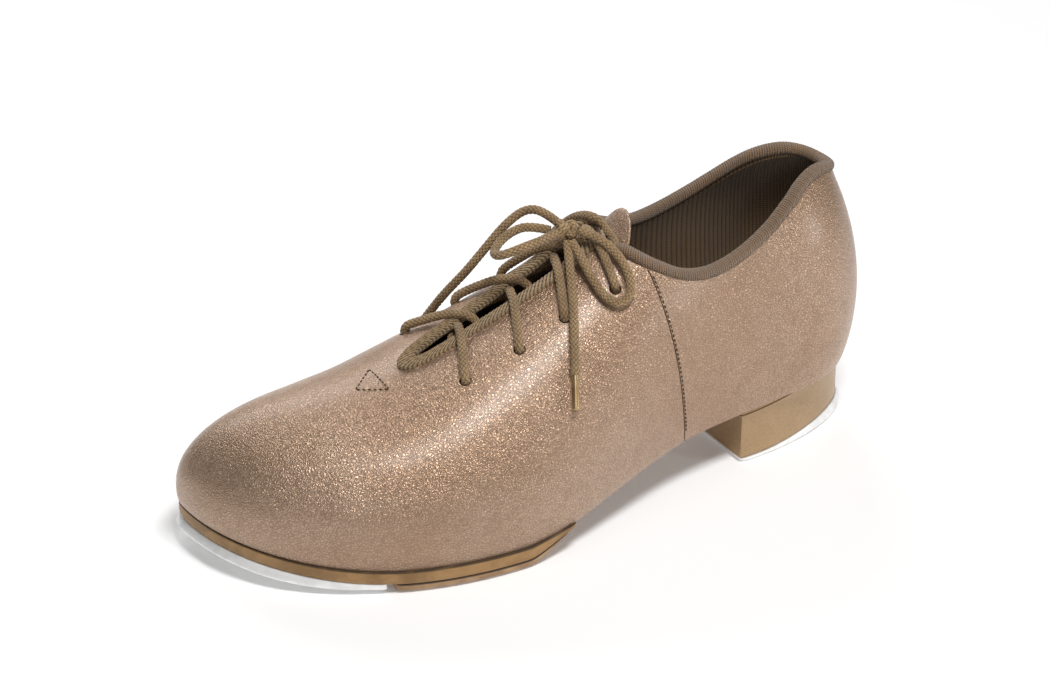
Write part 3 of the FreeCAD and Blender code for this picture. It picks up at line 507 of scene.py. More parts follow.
def foot_outline(grow, start=None):
    """Once round the sole of the last, from the heel or from a straight back edge at start."""
    def way(t):
        x0 = ENDS["foot"][0] - grow if start is None else start
        x1 = ENDS["foot"][1] + grow
        s = np.abs(2 * t - 1)
        side = np.where(t < 0.5, 1, -1)
        x = x0 + (x1 - x0) * (0.5 * (1 + np.cos(math.pi * s)) if start is None else np.cos(math.pi / 2 * s))
        y = np.where(side > 0, plan(x, "foot", 1, grow), plan(x, "foot", -1, grow))
        return np.stack([x, y], -1)
    dense = way(np.linspace(0, 1, 1601))
    if start is not None:
        a, b = dense[-1], dense[0]
        dense = np.concatenate([dense, a + (b - a) * np.linspace(0, 1, 160)[1:, None]])
    run = np.concatenate([[0], np.cumsum(np.linalg.norm(np.diff(dense, axis=0), axis=1))])
    return lambda t: np.stack([np.interp(np.asarray(t) * run[-1], run, dense[:, k]) for k in (0, 1)], -1)


def padded_edge(thick, soft):
    """Section of a plate with rounded edges, from the middle of its top to the middle of its underside."""
    turns_round = np.linspace(0, math.pi / 2, 5)
    top = [(share, 0.0, thick) for share in (0.0, 0.4, 0.8, 0.95)]
    over = [(1.0, -soft * (1 - math.sin(t)), thick - soft * (1 - math.cos(t))) for t in turns_round]
    under = [(1.0, -soft * (1 - math.cos(t)), soft * (1 - math.sin(t))) for t in turns_round]
    return top + over + under + [(share, 0.0, 0.0) for share in (0.95, 0.8, 0.4, 0.0)]


def on_sole(above):
    return lambda x, level: feather_z(x) + above + level


board = plate("insole_board", foot_outline(-4.6), padded_edge(1.8, 0.4), on_sole(1.25), 220)
sock = plate("cushion_sock", foot_outline(-4.7), padded_edge(2.2, 0.8), on_sole(3.2), 220)

# %% [markdown]
# ## Soles, heel and taps
# The sole is split: a leather forefoot sole, and a stacked heel.  A dancer's taps are cast aluminium plates
# screwed under the toe and the heel, and a half sole pad fills the rest of the ball.  Each is a plate with
# its own outline and edge.  The taps' sides spread outwards at the toe and at the back of the heel.

# %% Soles
WELT = 1.8
TOE_FLARE = 1.6
HEEL_FLARE = 1.3
BREAK = 211.5


def step_up(t):
    t = np.clip(t, 0, 1)
    return t * t * (3 - 2 * t)


def rounded(outline, radius, count=1600):
    """The same outline with its corners rounded off."""
    dense = outline(np.linspace(0, 1, count + 1)[:-1])
    run = np.linalg.norm(np.diff(dense, axis=0), axis=1).sum()
    width = max(1, int(radius / run * count))
    for _ in range(3):
        dense = sum(np.roll(dense, k, 0) for k in range(-width, width + 1)) / (2 * width + 1)
    closed = np.concatenate([dense, dense[:1]])
    ts = np.linspace(0, 1, count + 1)
    return lambda t: np.stack([np.interp(t, ts, closed[:, k]) for k in (0, 1)], -1)


def loop(points):
    """An outline through a list of close points, once round."""
    points = np.array(points + points[:1], float)
    run = np.concatenate([[0], np.cumsum(np.linalg.norm(np.diff(points, axis=0), axis=1))])
    return lambda t: np.stack([np.interp(np.asarray(t) * run[-1], run, points[:, k]) for k in (0, 1)], -1)


def sole_zone(grow, back, front):
    """The forefoot between two lines across it, each given as x for a y."""
    def side_run(side):
        y = plan(BREAK, "foot", side, grow)
        x = np.linspace(back(y), front(y), 120)
        return list(zip(x, plan(x, "foot", side, grow)))
    lateral, medial = side_run(1), side_run(-1)
    across = np.linspace(lateral[-1][1], medial[-1][1], 60)[1:-1]
    home = np.linspace(medial[0][1], lateral[0][1], 60)[1:-1]
    return loop(lateral + [(front(y), y) for y in across] + medial[::-1] + [(back(y), y) for y in home])


def skived(x, level):
    """The sole gets thinner towards the waist."""
    return feather_z(x) + level * (0.25 + 0.75 * step_up((x - 139.0) / 22.0))


def under_skive(x, level):
    return skived(x, -5.0) + level * (0.35 + 0.65 * step_up((x - 142.0) / 16.0))


outsole = plate("forefoot_sole", rounded(foot_outline(WELT, 140.0), 1.0), [
    (0.0, 0, 0), (0.5, 0, 0), (0.9, 0, 0), (1, -0.7, 0), (1, -0.25, -0.12), (1, -0.02, -0.45), (1, 0.06, -1.4),
    (1, 0.04, -3.0), (1, -0.05, -4.2), (1, -0.3, -4.75), (1, -0.8, -5.0),
    (0.9, 0, -5), (0.5, 0, -5), (0.0, 0, -5)], skived, 300)


def break_x(y):
    """The shallow curve where the tap meets the pad."""
    return BREAK - 6.0 * (1 - (y / 70.0) ** 2)


def tap_outline(t):
    p = foot_outline(WELT - 0.3, BREAK - 3.0)(t)
    near = 1 - step_up((p[:, 0] - BREAK + 3.0) / 14.0)
    p[:, 0] += near * (break_x(p[:, 1]) + 0.8 - BREAK + 3.0)
    return p


pad_zone = sole_zone(WELT - 0.2, lambda y: 143.0 + 0 * y, lambda y: break_x(y) - 1.2)
pad = plate("half_sole_pad_piece", rounded(pad_zone, 1.2), [
    (0.0, 0, 0), (0.5, 0, 0), (0.9, 0, 0), (1, 0, 0), (1, 0, -0.35), (1, -0.02, -0.8), (1, -0.1, -1.6),
    (1, -0.5, -2.5),
    (1, -1.3, -3.0), (0.9, 0, -3), (0.5, 0, -3), (0.0, 0, -3)], under_skive, 260)


def tap_level(x, level):
    """The toe tap is a little thinner at its rear edge, and thicker towards the toe."""
    thicker = 0.22 * step_up((x - BREAK) / 10.0) + 0.3 * step_up((x - BREAK - 5) / 30.0)
    return feather_z(x) - SOLE + TAP + level * (0.78 + thicker)


toe_tap = plate("toe_tap_plate", rounded(tap_outline, 1.8), [
    (0.0, 0, 0), (0.5, 0, 0), (0.9, 0, 0), (1, -0.1, 0), (1, 0, -0.15, 0.1), (1, 0.05, -0.9, 0.42),
    (1, 0.1, -1.7, 0.78), (1, 0.1, -2.2, 0.95), (1, -0.05, -2.6, 1.0), (1, -0.4, -2.88, 0.97),
    (1, -0.9, -3.0, 0.9),
    (0.9, 0, -3), (0.5, 0, -3), (0.0, 0, -3)],
    tap_level, 300, flare=lambda x: TOE_FLARE * step_up((x - BREAK - 3) / 30.0))


def heel_outline(breast):
    """The seat's round back and straight breast."""
    back, half = 1.0, 28.6
    centre = 58.0
    angles = np.linspace(math.pi / 2, 3 * math.pi / 2, 181)
    arc = [(centre + (centre - back) * math.cos(a), half * math.sin(a)) for a in angles]
    return loop(arc + [(breast, y) for y in np.linspace(-half, half, 81)])


def heel_flare(x):
    return HEEL_FLARE * (1 - step_up((x - 4) / 50.0))


def tap_top(x):
    """The heel tap's top slopes down towards the breast."""
    return TAP * (1.22 - 0.84 * step_up((x - 8) / 50.0))


heel_tap = plate("heel_tap_plate", rounded(heel_outline(60.2), 1.2), [
    (0.0, 0, 3), (0.5, 0, 3), (0.9, 0, 3), (1, 0, 3, -1.0), (1, 0.02, 2.8, -0.9), (1, 0.02, 2.0, -0.56),
    (1, 0.02, 1.2, -0.2), (1, 0, 0.75, -0.05), (1, -0.12, 0.38, 0), (1, -0.4, 0.12, 0), (1, -0.9, 0.0, 0),
    (0.9, 0, 0), (0.5, 0, 0), (0.0, 0, 0)], lambda x, level: level / TAP * tap_top(x), 260, flare=heel_flare)

block_rows = [(0.0, -1.6, 1), (0.5, -1.6, 1), (0.9, -1.6, 1), (1, -1.9, 1.0), (1, -1.25, 0.985), (1, -1.05, 0.965),
              (1, -1.1, 0.945), (1, -1.75, 0.93), (1, -1.75, 0.922), (1, -1.12, 0.905)]
block_rows += [(1, -0.2 - 1.3 * f ** 0.8 - 0.35 * math.sin(math.pi * f), f, -(1 - f) ** 1.6)
               for f in (0.86, 0.75, 0.6, 0.45, 0.3, 0.18, 0.08)]
block_rows += [(1, -0.3, 0.03, -1.0), (1, -0.7, 0.0, -1.0), (0.9, 0, 0), (0.5, 0, 0), (0.0, 0, 0)]


def between_tap_and_seat(x, level):
    base = tap_top(x) + 0.02
    return base + level * (feather_z(x) - base)


block = plate("heel_stack", rounded(heel_outline(61.0), 1.0), block_rows, between_tap_and_seat, 260,
              flare=heel_flare)

# %% [markdown]
# Each tap is held by countersunk screws, so a cone is cut out of the plate for each head.  A Boolean
# modifier does that, with the cones as cutters, which are deleted afterwards.

# %% Countersinks
HEEL_SCREWS = [(16.0, 0.0), (44.0, 15.0), (44.0, -15.0)]
TOE_SCREWS = [(217.0, 19.0), (217.0, -32.0), (239.0, -16.0)]


def cut_with(obj, cutters):
    for cutter in cutters:
        only(obj)
        modifier = obj.modifiers.new("cut", "BOOLEAN")
        modifier.operation = "DIFFERENCE"
        modifier.solver = "EXACT"
        modifier.object = cutter
        bpy.ops.object.modifier_apply(modifier="cut")
        bpy.data.objects.remove(cutter)


def countersink(x, y, base):
    bpy.ops.object.select_all(action="DESELECT")
    at = placed((x, y, base + 0.8))
    bpy.ops.mesh.primitive_cone_add(vertices=32, radius1=0.0042, radius2=0.0019, depth=0.0026, location=at)
    return bpy.context.object


cut_with(heel_tap, [countersink(x, y, 0.0) for x, y in HEEL_SCREWS])
cut_with(toe_tap, [countersink(x, y, float(feather_z(x)) - SOLE) for x, y in TOE_SCREWS])
for tap in (heel_tap, toe_tap):
    only(tap)
    bpy.ops.object.shade_smooth_by_angle(angle=math.radians(30))

# %% [markdown]
# ## Knitted edges
# The throat is bound with a ribbed elastic band, and the topline with a soft knitted roll.  Both are sleeves:
# a grid wrapped into a tube whose section slides along the cut edge.  The elastic's ribs are real ridges
# across it, a millimetre and a half apart, and the roll's knit is finer.

# %% Throat binding
ribs = int(SLOT_RUN / 1.55)
RIB = SLOT_RUN / ribs
BOUND_FROM, BOUND = 0.075, 0.85


def binding_place(u, v):
    t = BOUND_FROM + BOUND * u
    turn = 2 * math.pi * v
    cos, sin = np.cos(turn), np.sin(turn)
    across = 0.5 + 0.56 * np.sign(cos) * np.abs(cos) ** 0.6
    rise = np.sign(sin) * np.abs(sin) ** 0.7
    ridge = 0.4 * np.abs(np.sin(math.pi * BOUND * u * ribs)) ** 0.7
    high = np.where(rise > 0, 0.35 + 0.85 * rise, 0.35 + 1.9 * rise) + ridge * np.clip(0.6 + rise, 0, 1)
    flat = slot_way(t) + (gap_way(t) - slot_way(t)) * across[:, None]
    return on_last(flat[:, 0], flat[:, 1], high)[0]


binding = bent_grid("throat_elastic", ribs * 8, 18, binding_place, BOUND * SLOT_RUN / 1000, 0.012, crease=60)


# %% Topline roll
def topline_run(count=420, front_x=105.5):
    """Points along the topline on the leather, from the lateral front round the heel to the medial front."""
    runs = []
    for side in (1, -1):
        u = np.linspace(0, math.acos(1 - 2 * front_x / 254.0) / math.pi, count)
        down, up = np.full(count, LOWER_SHARE), np.ones(count)
        for _ in range(26):
            a = (down + up) / 2
            p = side_point(u, a, side)
            over = p[:, 2] > TOPLINE(p[:, 0])
            down, up = np.where(over, down, a), np.where(over, a, up)
        runs.append(side_point(u, (down + up) / 2, side))
    return np.concatenate([runs[0][::-1], runs[1][1:]])


topline = topline_run()
topline_way, TOPLINE_RUN = through(topline)


def collar_place(u, v):
    p = topline_way(u)
    ahead = topline_way(np.clip(u + 0.004, 0, 1)) - topline_way(np.clip(u - 0.004, 0, 1))
    flat = ahead * (1, 1, 0)
    flat /= np.linalg.norm(flat, axis=1, keepdims=True)
    inward = np.stack([flat[:, 1], -flat[:, 0], 0 * u], -1)
    centre = np.array([70.0, 0.0])
    toward = ((centre - p[:, :2]) * inward[:, :2]).sum(1)
    inward *= np.where(toward < 0, -1, 1)[:, None]
    turn = 2 * math.pi * v
    cos, sin = np.cos(turn), np.sin(turn)
    knit = 1 + 0.018 * np.cos(2 * math.pi * u * TOPLINE_RUN / 1.3) * (sin > -0.5)
    x = 1.9 + 2.55 * np.sign(cos) * np.abs(cos) ** 0.85 * knit
    z = 1.55 + 2.1 * np.sign(sin) * np.abs(sin) ** 0.85 * knit
    fade = np.minimum(np.clip(u / 0.02, 0, 1), np.clip((1 - u) / 0.02, 0, 1)) ** 0.5
    upward = np.array([0, 0, 1.0])
    return p + inward * (1.9 + (x - 1.9) * fade)[:, None] + upward * (1.0 + (z - 1.0) * fade)[:, None]


collar = bent_grid("topline_roll", 900, 20, collar_place, TOPLINE_RUN / 1000, 0.015, crease=60)

# %% [markdown]
# ## Tongue
# The tongue is a leather flap with a cloth lining that lies under the laces and stands up behind them.  It
# is a plate too, but laid on the last a little below the flaps, so it arches over the instep.

# %% Tongue
TONGUE = [(181, 1), (178, 14), (165, 20), (140, 23), (120, 22), (109, 16.5), (99, 12), (94.5, 7.5), (93, 0.5),
          (94.5, -6.5), (99, -11), (109, -15), (120, -19.5), (140, -19.5), (165, -17.5), (178, -11)]
TONGUE_GAP = 7.6
tongue_ring, _ = through(TONGUE + TONGUE[:1])
tongue_outline = rounded(loop([tuple(p) for p in tongue_ring(np.linspace(0, 1, 800)[:-1])]), 3.0)


def on_tongue(x, y, level):
    return on_last(x, y, level, -TONGUE_GAP, True)[0]


def tongue_rows(top, thick, grow):
    shares = [0.0, 0.15, 0.3, 0.45, 0.6, 0.72, 0.84, 0.94]
    low = top - thick
    edge = [(1, grow - 0.35, top), (1, grow, top - 0.3), (1, grow, low + 0.3), (1, grow - 0.35, low)]
    return [(f, grow, top) for f in shares] + edge + [(f, grow, low) for f in shares[::-1]]


tongue_leather, tongue_lining = (
    plate(name, tongue_outline, tongue_rows(*layer), None, 220, 0.17, surface=on_tongue)
    for name, layer in (("tongue_flap", (0.0, 1.25, 0.0)), ("tongue_cloth", (-1.3, 1.2, -0.6))))

# %% [markdown]
# ## Braided lace
# A round shoelace is a tube of twelve yarns, six each way, that cross over and under each other.  The tube is
# a grid rolled round the cord's line, and the braid is pressed into it: where a yarn passes over, the surface
# rises.  The metal tip is slimmer than the lace, with a seam along it.

# %% Laces
YARNS = 6
BRAID_TURN = 10.5


def even(line, step):
    """The same line with points a step apart, in millimetres of the last."""
    mm = np.asarray(line) * 1000.0 + MIDDLE
    run = np.concatenate([[0], np.cumsum(np.linalg.norm(np.diff(mm, axis=0), axis=1))])
    count = max(8, int(round(run[-1] / step)))
    ts = np.linspace(0, run[-1], count + 1)
    points = np.stack([np.interp(ts, run, mm[:, k]) for k in range(3)], -1)
    for _ in range(2):
        points[1:-1] = (points[:-2] + 2 * points[1:-1] + points[2:]) / 4
    return points, ts


def frames(points):
    """Two directions square to the line at each point, carried along without twist."""
    ahead = np.gradient(points, axis=0)
    ahead /= np.linalg.norm(ahead, axis=1, keepdims=True)
    first = np.cross(ahead[0], (0.0, 0.3, 1.0))
    sides = [first / np.linalg.norm(first)]
    for way in ahead[1:]:
        side = sides[-1] - way * sides[-1].dot(way)
        sides.append(side / np.linalg.norm(side))
    sides = np.array(sides)
    return ahead, sides, np.cross(ahead, sides)


def sleeve(name, line, radius, around=30, step=0.34, relief=None, shape=None, crease=70):
    """A closed tube along a line; relief(angle, way) raises it, and shape(way) scales its radius."""
    points, way = even(line, step)
    _, side, up = frames(points)
    last = len(points) - 1

    def place(u, v):
        i = np.round(u * (last + 2)).astype(int) - 1
        closed = (i < 0) | (i > last)
        i = np.clip(i, 0, last)
        angle = 2 * math.pi * v
        r = radius * (1 if shape is None else shape(way[i], way[-1]))
        r = r + (0 if relief is None else relief(angle, way[i]))
        r = np.where(closed, 0.0, r)
        return points[i] + (side[i] * np.cos(angle)[:, None] + up[i] * np.sin(angle)[:, None]) * r[:, None]

    return bent_grid(name, last + 2, around, place, way[-1] / 1000, 2 * math.pi * radius / 1000, crease=crease)


def braid(angle, way):
    """Height of the braid: two families of yarns, each over the other by turns."""
    a = YARNS * (angle / (2 * math.pi) + way / BRAID_TURN)
    b = YARNS * (angle / (2 * math.pi) - way / BRAID_TURN)
    over = (np.floor(a) + np.floor(b)) % 2 < 0.5
    fa, fb = a - np.floor(a), b - np.floor(b)
    one = np.sin(math.pi * fa) ** 0.6 * (0.7 + 0.3 * np.sin(math.pi * fb))
    other = np.sin(math.pi * fb) ** 0.6 * (0.7 + 0.3 * np.sin(math.pi * fa))
    return 0.46 * np.where(over, one, other) - 0.34


laces = {name: sleeve(name + "_braid", LINES[name], LACE, relief=braid) for name in LINES}


# %% Lace tips
def tip_shape(way, whole):
    rounded_end = np.sqrt(np.clip(1 - np.clip((way - whole + 0.7) / 0.75, 0, 1) ** 2, 0.02, 1))
    return np.where(way < 0.25, 0.94, 1.0) * rounded_end


def tip_seam(angle, way):
    away = np.abs((angle - 1.1 + math.pi) % (2 * math.pi) - math.pi)
    return -0.16 * np.exp(-(away / 0.11) ** 2)


tips = {}
for name, end in (("aglet_near", "lace_end_near"), ("aglet_far", "lace_end_far")):
    start, before = np.array(ROUTES[end][-1]), np.array(ROUTES[end][-2])
    ahead = (start - before) / np.linalg.norm(start - before)
    line = placed([start + ahead * d for d in np.linspace(-0.8, 12.0, 60)])
    tips[name] = sleeve(name + "_tube", line, 1.22, 40, 0.2, tip_seam, tip_shape, crease=50)

# %% [markdown]
# ## Eyelets and stitches
# The eyelets are plain punched holes, so cylinders are cut out of the vamp and its lining along the
# surface's own direction.  Stitches are modelled once, as a short thread that dips at both ends, and the
# copies are laid along the seam and round the tongue's tacking.

# %% Punch the eyelets
def punch(x, y, radius):
    at, normal = on_last(x, y)
    bpy.ops.object.select_all(action="DESELECT")
    turned = Vector(normal).to_track_quat("Z", "Y").to_euler()
    bpy.ops.mesh.primitive_cylinder_add(vertices=28, radius=radius, depth=0.012, location=placed(at),
                                        rotation=turned)
    return bpy.context.object


for layer, radius in ((vamp, 0.0021), (vamp_lining, 0.0022)):
    cut_with(layer, [punch(x, y, radius) for x, y in EYELETS + MEDIAL_EYELETS])
    only(layer)
    bpy.ops.object.shade_smooth_by_angle(angle=math.radians(40))


# %% Stitches
THREAD = 0.26
STITCH = 1.35
PITCH = 1.75


def one_stitch():
    def place(u, v):
        along_x = (u - 0.5) * STITCH
        bow = THREAD * 1.2 * (np.cos(math.pi * (u - 0.5)) ** 0.6 - 1)
        r = THREAD * np.where((u < 0.01) | (u > 0.99), 0.0, 1.0) * (0.75 + 0.25 * np.sin(math.pi * u))
        turn = 2 * math.pi * v
        return np.stack([along_x, r * np.cos(turn), bow + r * np.sin(turn)], -1) + MIDDLE
    return bent_grid("stitch", 8, 7, place, 0.002, 0.002, crease=80)


def sewn(name, rows):
    """Stitches along rows of (points, normals), each copy its own mesh, joined as one piece."""
    first = one_stitch()
    copies = []
    for points, normals in rows:
        run = np.concatenate([[0], np.cumsum(np.linalg.norm(np.diff(points, axis=0), axis=1))])
        count = max(1, int(run[-1] / PITCH))
        for k in range(count):
            ts = (k + 0.5) * run[-1] / count
            at = np.array([np.interp(ts, run, points[:, j]) for j in range(3)])
            ahead = np.array([np.interp(ts + 0.4, run, points[:, j]) for j in range(3)]) - at
            up = np.array([np.interp(ts, run, normals[:, j]) for j in range(3)])
            ahead = ahead / np.linalg.norm(ahead) if np.linalg.norm(ahead) > 1e-6 else -last_ahead
            last_ahead = ahead
            side = np.cross(up, ahead)
            side /= np.linalg.norm(side)
            up = np.cross(ahead, side)
            copy = first.copy()
            copy.data = first.data.copy()
            bpy.context.scene.collection.objects.link(copy)
            co = np.zeros(len(copy.data.vertices) * 3)
            copy.data.vertices.foreach_get("co", co)
            co = co.reshape(-1, 3) @ np.array([ahead, side, up]) + placed(at)
            copy.data.vertices.foreach_set("co", co.ravel())
            copies.append(copy)
    bpy.data.objects.remove(first)
    bpy.ops.object.select_all(action="DESELECT")
    for copy in copies:
        copy.select_set(True)
    bpy.context.view_layer.objects.active = copies[0]
    bpy.ops.object.join()
    joined = bpy.context.object
    joined.name = joined.data.name = name
    print(name, len(copies), "stitches")
    return joined


def seam_row(side, shift):
    a = np.linspace(0.1, 0.99, 60)
    lift = THREAD * 0.55
    u = seam_u(a, np.full(a.shape, side), shift)
    p = side_point(u, a, side)
    ahead = side_point(u, np.minimum(a + 0.01, 1), side) - side_point(u, a - 0.01, side)
    across = side_point(u + 0.004, a, side) - side_point(u - 0.004, a, side)
    normal = np.cross(across, ahead) * -side
    normal /= np.linalg.norm(normal, axis=1, keepdims=True)
    keep = p[:, 2] < TOPLINE(p[:, 0]) - 1.2
    return (p + normal * lift)[keep], normal[keep]


seam_stitches = sewn("quarter_seam_stitches", [seam_row(1, -0.7), seam_row(-1, -0.7)])
TACK = [(197.6, -1.6), (189.3, 6.6), (188.6, -8.4), (197.6, -1.6)]
tack_rows = []
for (xa, ya), (xb, yb) in zip(TACK[:-1], TACK[1:]):
    f = np.linspace(0, 1, 8)
    tack_rows.append(on_last(xa + (xb - xa) * f, ya + (yb - ya) * f, THREAD * 0.55))
tack_stitches = sewn("tongue_tack_stitches", tack_rows)

# %% [markdown]
# ## Finishes
# A finish is a few nodes: where on the piece, a pattern, and what the pattern does to colour, roughness and
# relief.  A small class lets a pattern be written as a sum of numbers and sockets, and one method makes any
# other node.

# %% Node helpers
class Signal:
    """A number in a material: arithmetic on it adds Math nodes."""

    def __init__(self, finish, socket):
        self.finish, self.socket = finish, socket

    def math(self, operation, *values):
        return self.finish.node("ShaderNodeMath", {"operation": operation}, *values)

    def __add__(self, other):
        return self.math("ADD", self, other)

    def __sub__(self, other):
        return self.math("SUBTRACT", self, other)

    def __rsub__(self, other):
        return self.math("SUBTRACT", other, self)

    def __mul__(self, other):
        return self.math("MULTIPLY", self, other)

    def __truediv__(self, other):
        return self.math("DIVIDE", self, other)

    def __pow__(self, other):
        return self.math("POWER", self, other)

    __radd__ = __add__
    __rmul__ = __mul__

    def sine(self):
        return self.math("SINE", self)

    def size(self):
        return self.math("ABSOLUTE", self)

    def between(self, low, high):
        """0 below low, 1 above high, smooth between."""
        smooth_step = {"interpolation_type": "SMOOTHSTEP"}
        return self.finish.node("ShaderNodeMapRange", smooth_step, self, low, high, 0.0, 1.0)


def srgb(*levels):
    """A colour given in display levels from 0 to 255, as the linear light that nodes take."""
    linear = [(c / 255 / 12.92) if c / 255 <= 0.04045 else ((c / 255 + 0.055) / 1.055) ** 2.4 for c in levels]
    return (*linear, 1.0)


class Finish:
    """A material with a Principled shader, made node by node."""

    def __init__(self, name, **constants):
        self.material = bpy.data.materials.new(name)
        self.material.use_nodes = True
        self.tree = self.material.node_tree
        self.tree.nodes.clear()
        self.shader = self.tree.nodes.new("ShaderNodeBsdfPrincipled")
        output = self.tree.nodes.new("ShaderNodeOutputMaterial")
        self.tree.links.new(self.shader.outputs[0], output.inputs[0])
        for socket, value in constants.items():
            self.shader.inputs[socket.replace("_", " ")].default_value = value
        self.place = self.tree.nodes.new("ShaderNodeTexCoord")

    def put(self, socket, value):
        if isinstance(value, Signal):
            self.tree.links.new(value.socket, socket)
        else:
            socket.default_value = value

    def node(self, kind, settings, *values, out=0, **named):
        """A node of a kind, with its settings made first, then its inputs in order or by name."""
        made = self.tree.nodes.new(kind)
        for key, value in settings.items():
            setattr(made, key, value)
        for socket, value in zip(made.inputs, values):
            self.put(socket, value)
        for key, value in named.items():
            self.put(made.inputs[key.replace("_", " ")], value)
        return Signal(self, made.outputs[out])

    def where(self, kind="Object"):
        return Signal(self, self.place.outputs[kind])

    def parts(self, vector):
        split = self.node("ShaderNodeSeparateXYZ", {}, vector)
        return [Signal(self, socket) for socket in split.socket.node.outputs]

    def scaled(self, vector, *factors):
        return self.node("ShaderNodeVectorMath", {"operation": "MULTIPLY"}, vector, factors)

    def noise(self, vector, size, detail=3.0, rough=0.55):
        """Noise whose lumps are about size metres across."""
        return self.node("ShaderNodeTexNoise", {}, Vector=vector, Scale=1.0 / size, Detail=detail, Roughness=rough)

    def pebbles(self, vector, size):
        """1 inside each cell about size metres across, and 0 in the grooves between them."""
        cells = self.node("ShaderNodeTexVoronoi", {"feature": "DISTANCE_TO_EDGE"}, Vector=vector, Scale=1.0 / size)
        return cells.between(0.0, 0.3)

    def mix(self, share, first, second):
        made = self.tree.nodes.new("ShaderNodeMix")
        made.data_type = "RGBA"
        self.put(made.inputs[0], share)
        self.put(made.inputs[6], first)
        self.put(made.inputs[7], second)
        return Signal(self, made.outputs[2])

    def bump(self, height, distance, strength=1.0):
        self.put(self.shader.inputs["Normal"], self.node(
            "ShaderNodeBump", {}, Height=height, Distance=distance, Strength=strength))

    def look(self, **sockets):
        for socket, value in sockets.items():
            self.put(self.shader.inputs[socket.replace("_", " ")], value)
        return self.material


# %% [markdown]
# The upper is a soft full-grain leather with a pearl finish: fine pebbles about a millimetre across, creases
# duller and painted darker as shade in the grooves, broad soft patches of paler and browner tan, and a satin
# metallic sheen.

# %% Pearl tan leather
def pearl_leather(name, pale, middle, deep, grain=0.0010, relief=0.00019, sheen_of=0.8, rough=0.29):
    f = Finish(name, Specular_IOR_Level=0.5, Coat_Weight=0.35, Coat_Roughness=0.28)
    at = f.where()
    wander = f.node("ShaderNodeVectorMath", {"operation": "ADD"}, at, f.scaled(
        f.node("ShaderNodeTexNoise", {}, Vector=at, Scale=520.0, Detail=2.0, out=1), 0.0012, 0.0012, 0.0012))
    pebble, fine = f.pebbles(wander, grain), f.pebbles(wander, grain * 0.5)
    stretch = f.noise(at, 0.006, 3.0)
    patches = f.noise(at, 0.05, 2.0)
    raised = pebble * 0.7 + fine * 0.3
    creased = 1 - raised
    tone = f.mix(patches.between(0.35, 0.68) * 0.5, middle, pale)
    tone = f.mix(stretch.between(0.45, 0.75) * 0.15, tone, deep)
    # Painted shade: the grooves between the pebbles are darkened towards the deep colour.
    tone = f.mix(creased.between(0.3, 1.0) * 0.5, tone, deep)
    f.bump(stretch * 0.6 + raised, relief, 0.75)
    return f.look(Base_Color=tone, Roughness=rough + creased * 0.12 + patches * 0.05,
                  Metallic=sheen_of - creased.between(0.4, 0.9) * 0.15)


LEATHER_PALE, LEATHER_TAN, LEATHER_DEEP = srgb(200, 173, 152), srgb(180, 149, 124), srgb(112, 84, 58)
pearl = pearl_leather("pearl_leather", LEATHER_PALE, LEATHER_TAN, LEATHER_DEEP)
heel_leather = pearl_leather("heel_wrap_leather", srgb(188, 158, 120), srgb(174, 142, 102), srgb(130, 102, 68),
                             0.0006, 0.00003, 0.3, 0.40)


# %% [markdown]
# Cloth finishes follow the piece's own flat map, which is in metres, so ribs run the right way round a curve.

# %% Knit, terry and elastic
def ribbed(name, tone, dark, across, along, fuzz, rough=0.85, sheen_of=0.35, deep=0.0006):
    """A knit with ribs: across is the rib's pitch in metres, along the stitch's."""
    f = Finish(name, Sheen_Weight=sheen_of, Sheen_Roughness=0.5, Specular_IOR_Level=0.25)
    u, v, _ = f.parts(f.where("UV"))
    wave = (u * (math.pi / across)).sine()
    loops = (v * (2 * math.pi / along) + wave.math("SIGN", wave) * 1.2).sine()
    fibres = f.noise(f.where(), fuzz, 3.0)
    high = wave.size() ** 0.7 + loops * 0.22 + fibres * 0.5
    # Painted shade: the low parts between ribs and loops go towards the dark colour; the fibre noise in the height
    # adds random tone.
    shade = f.mix(high.between(0.35, 1.25), dark, tone)
    shade = f.mix(f.noise(f.where(), 0.02, 2.0).between(0.4, 0.7) * 0.25, shade, dark)
    f.bump(high, deep, 0.8)
    return f.look(Base_Color=shade, Roughness=rough)


terry_knit = ribbed("terry_ribs", srgb(136, 108, 74), srgb(84, 63, 36), 0.0019, 0.0011, 0.00035)
collar_knit = ribbed("collar_knit", srgb(146, 118, 92), srgb(94, 73, 52), 0.0009, 0.0008, 0.0003, 0.8, 0.25)
elastic_web = ribbed("elastic_web", srgb(182, 152, 112), srgb(80, 60, 32), RIB / 1000, 0.0008, 0.00025, 0.75, 0.3)
lining_cloth = ribbed("lining_cloth", srgb(140, 114, 86), srgb(100, 79, 56), 0.0006, 0.0006, 0.0003, 0.85, 0.2)


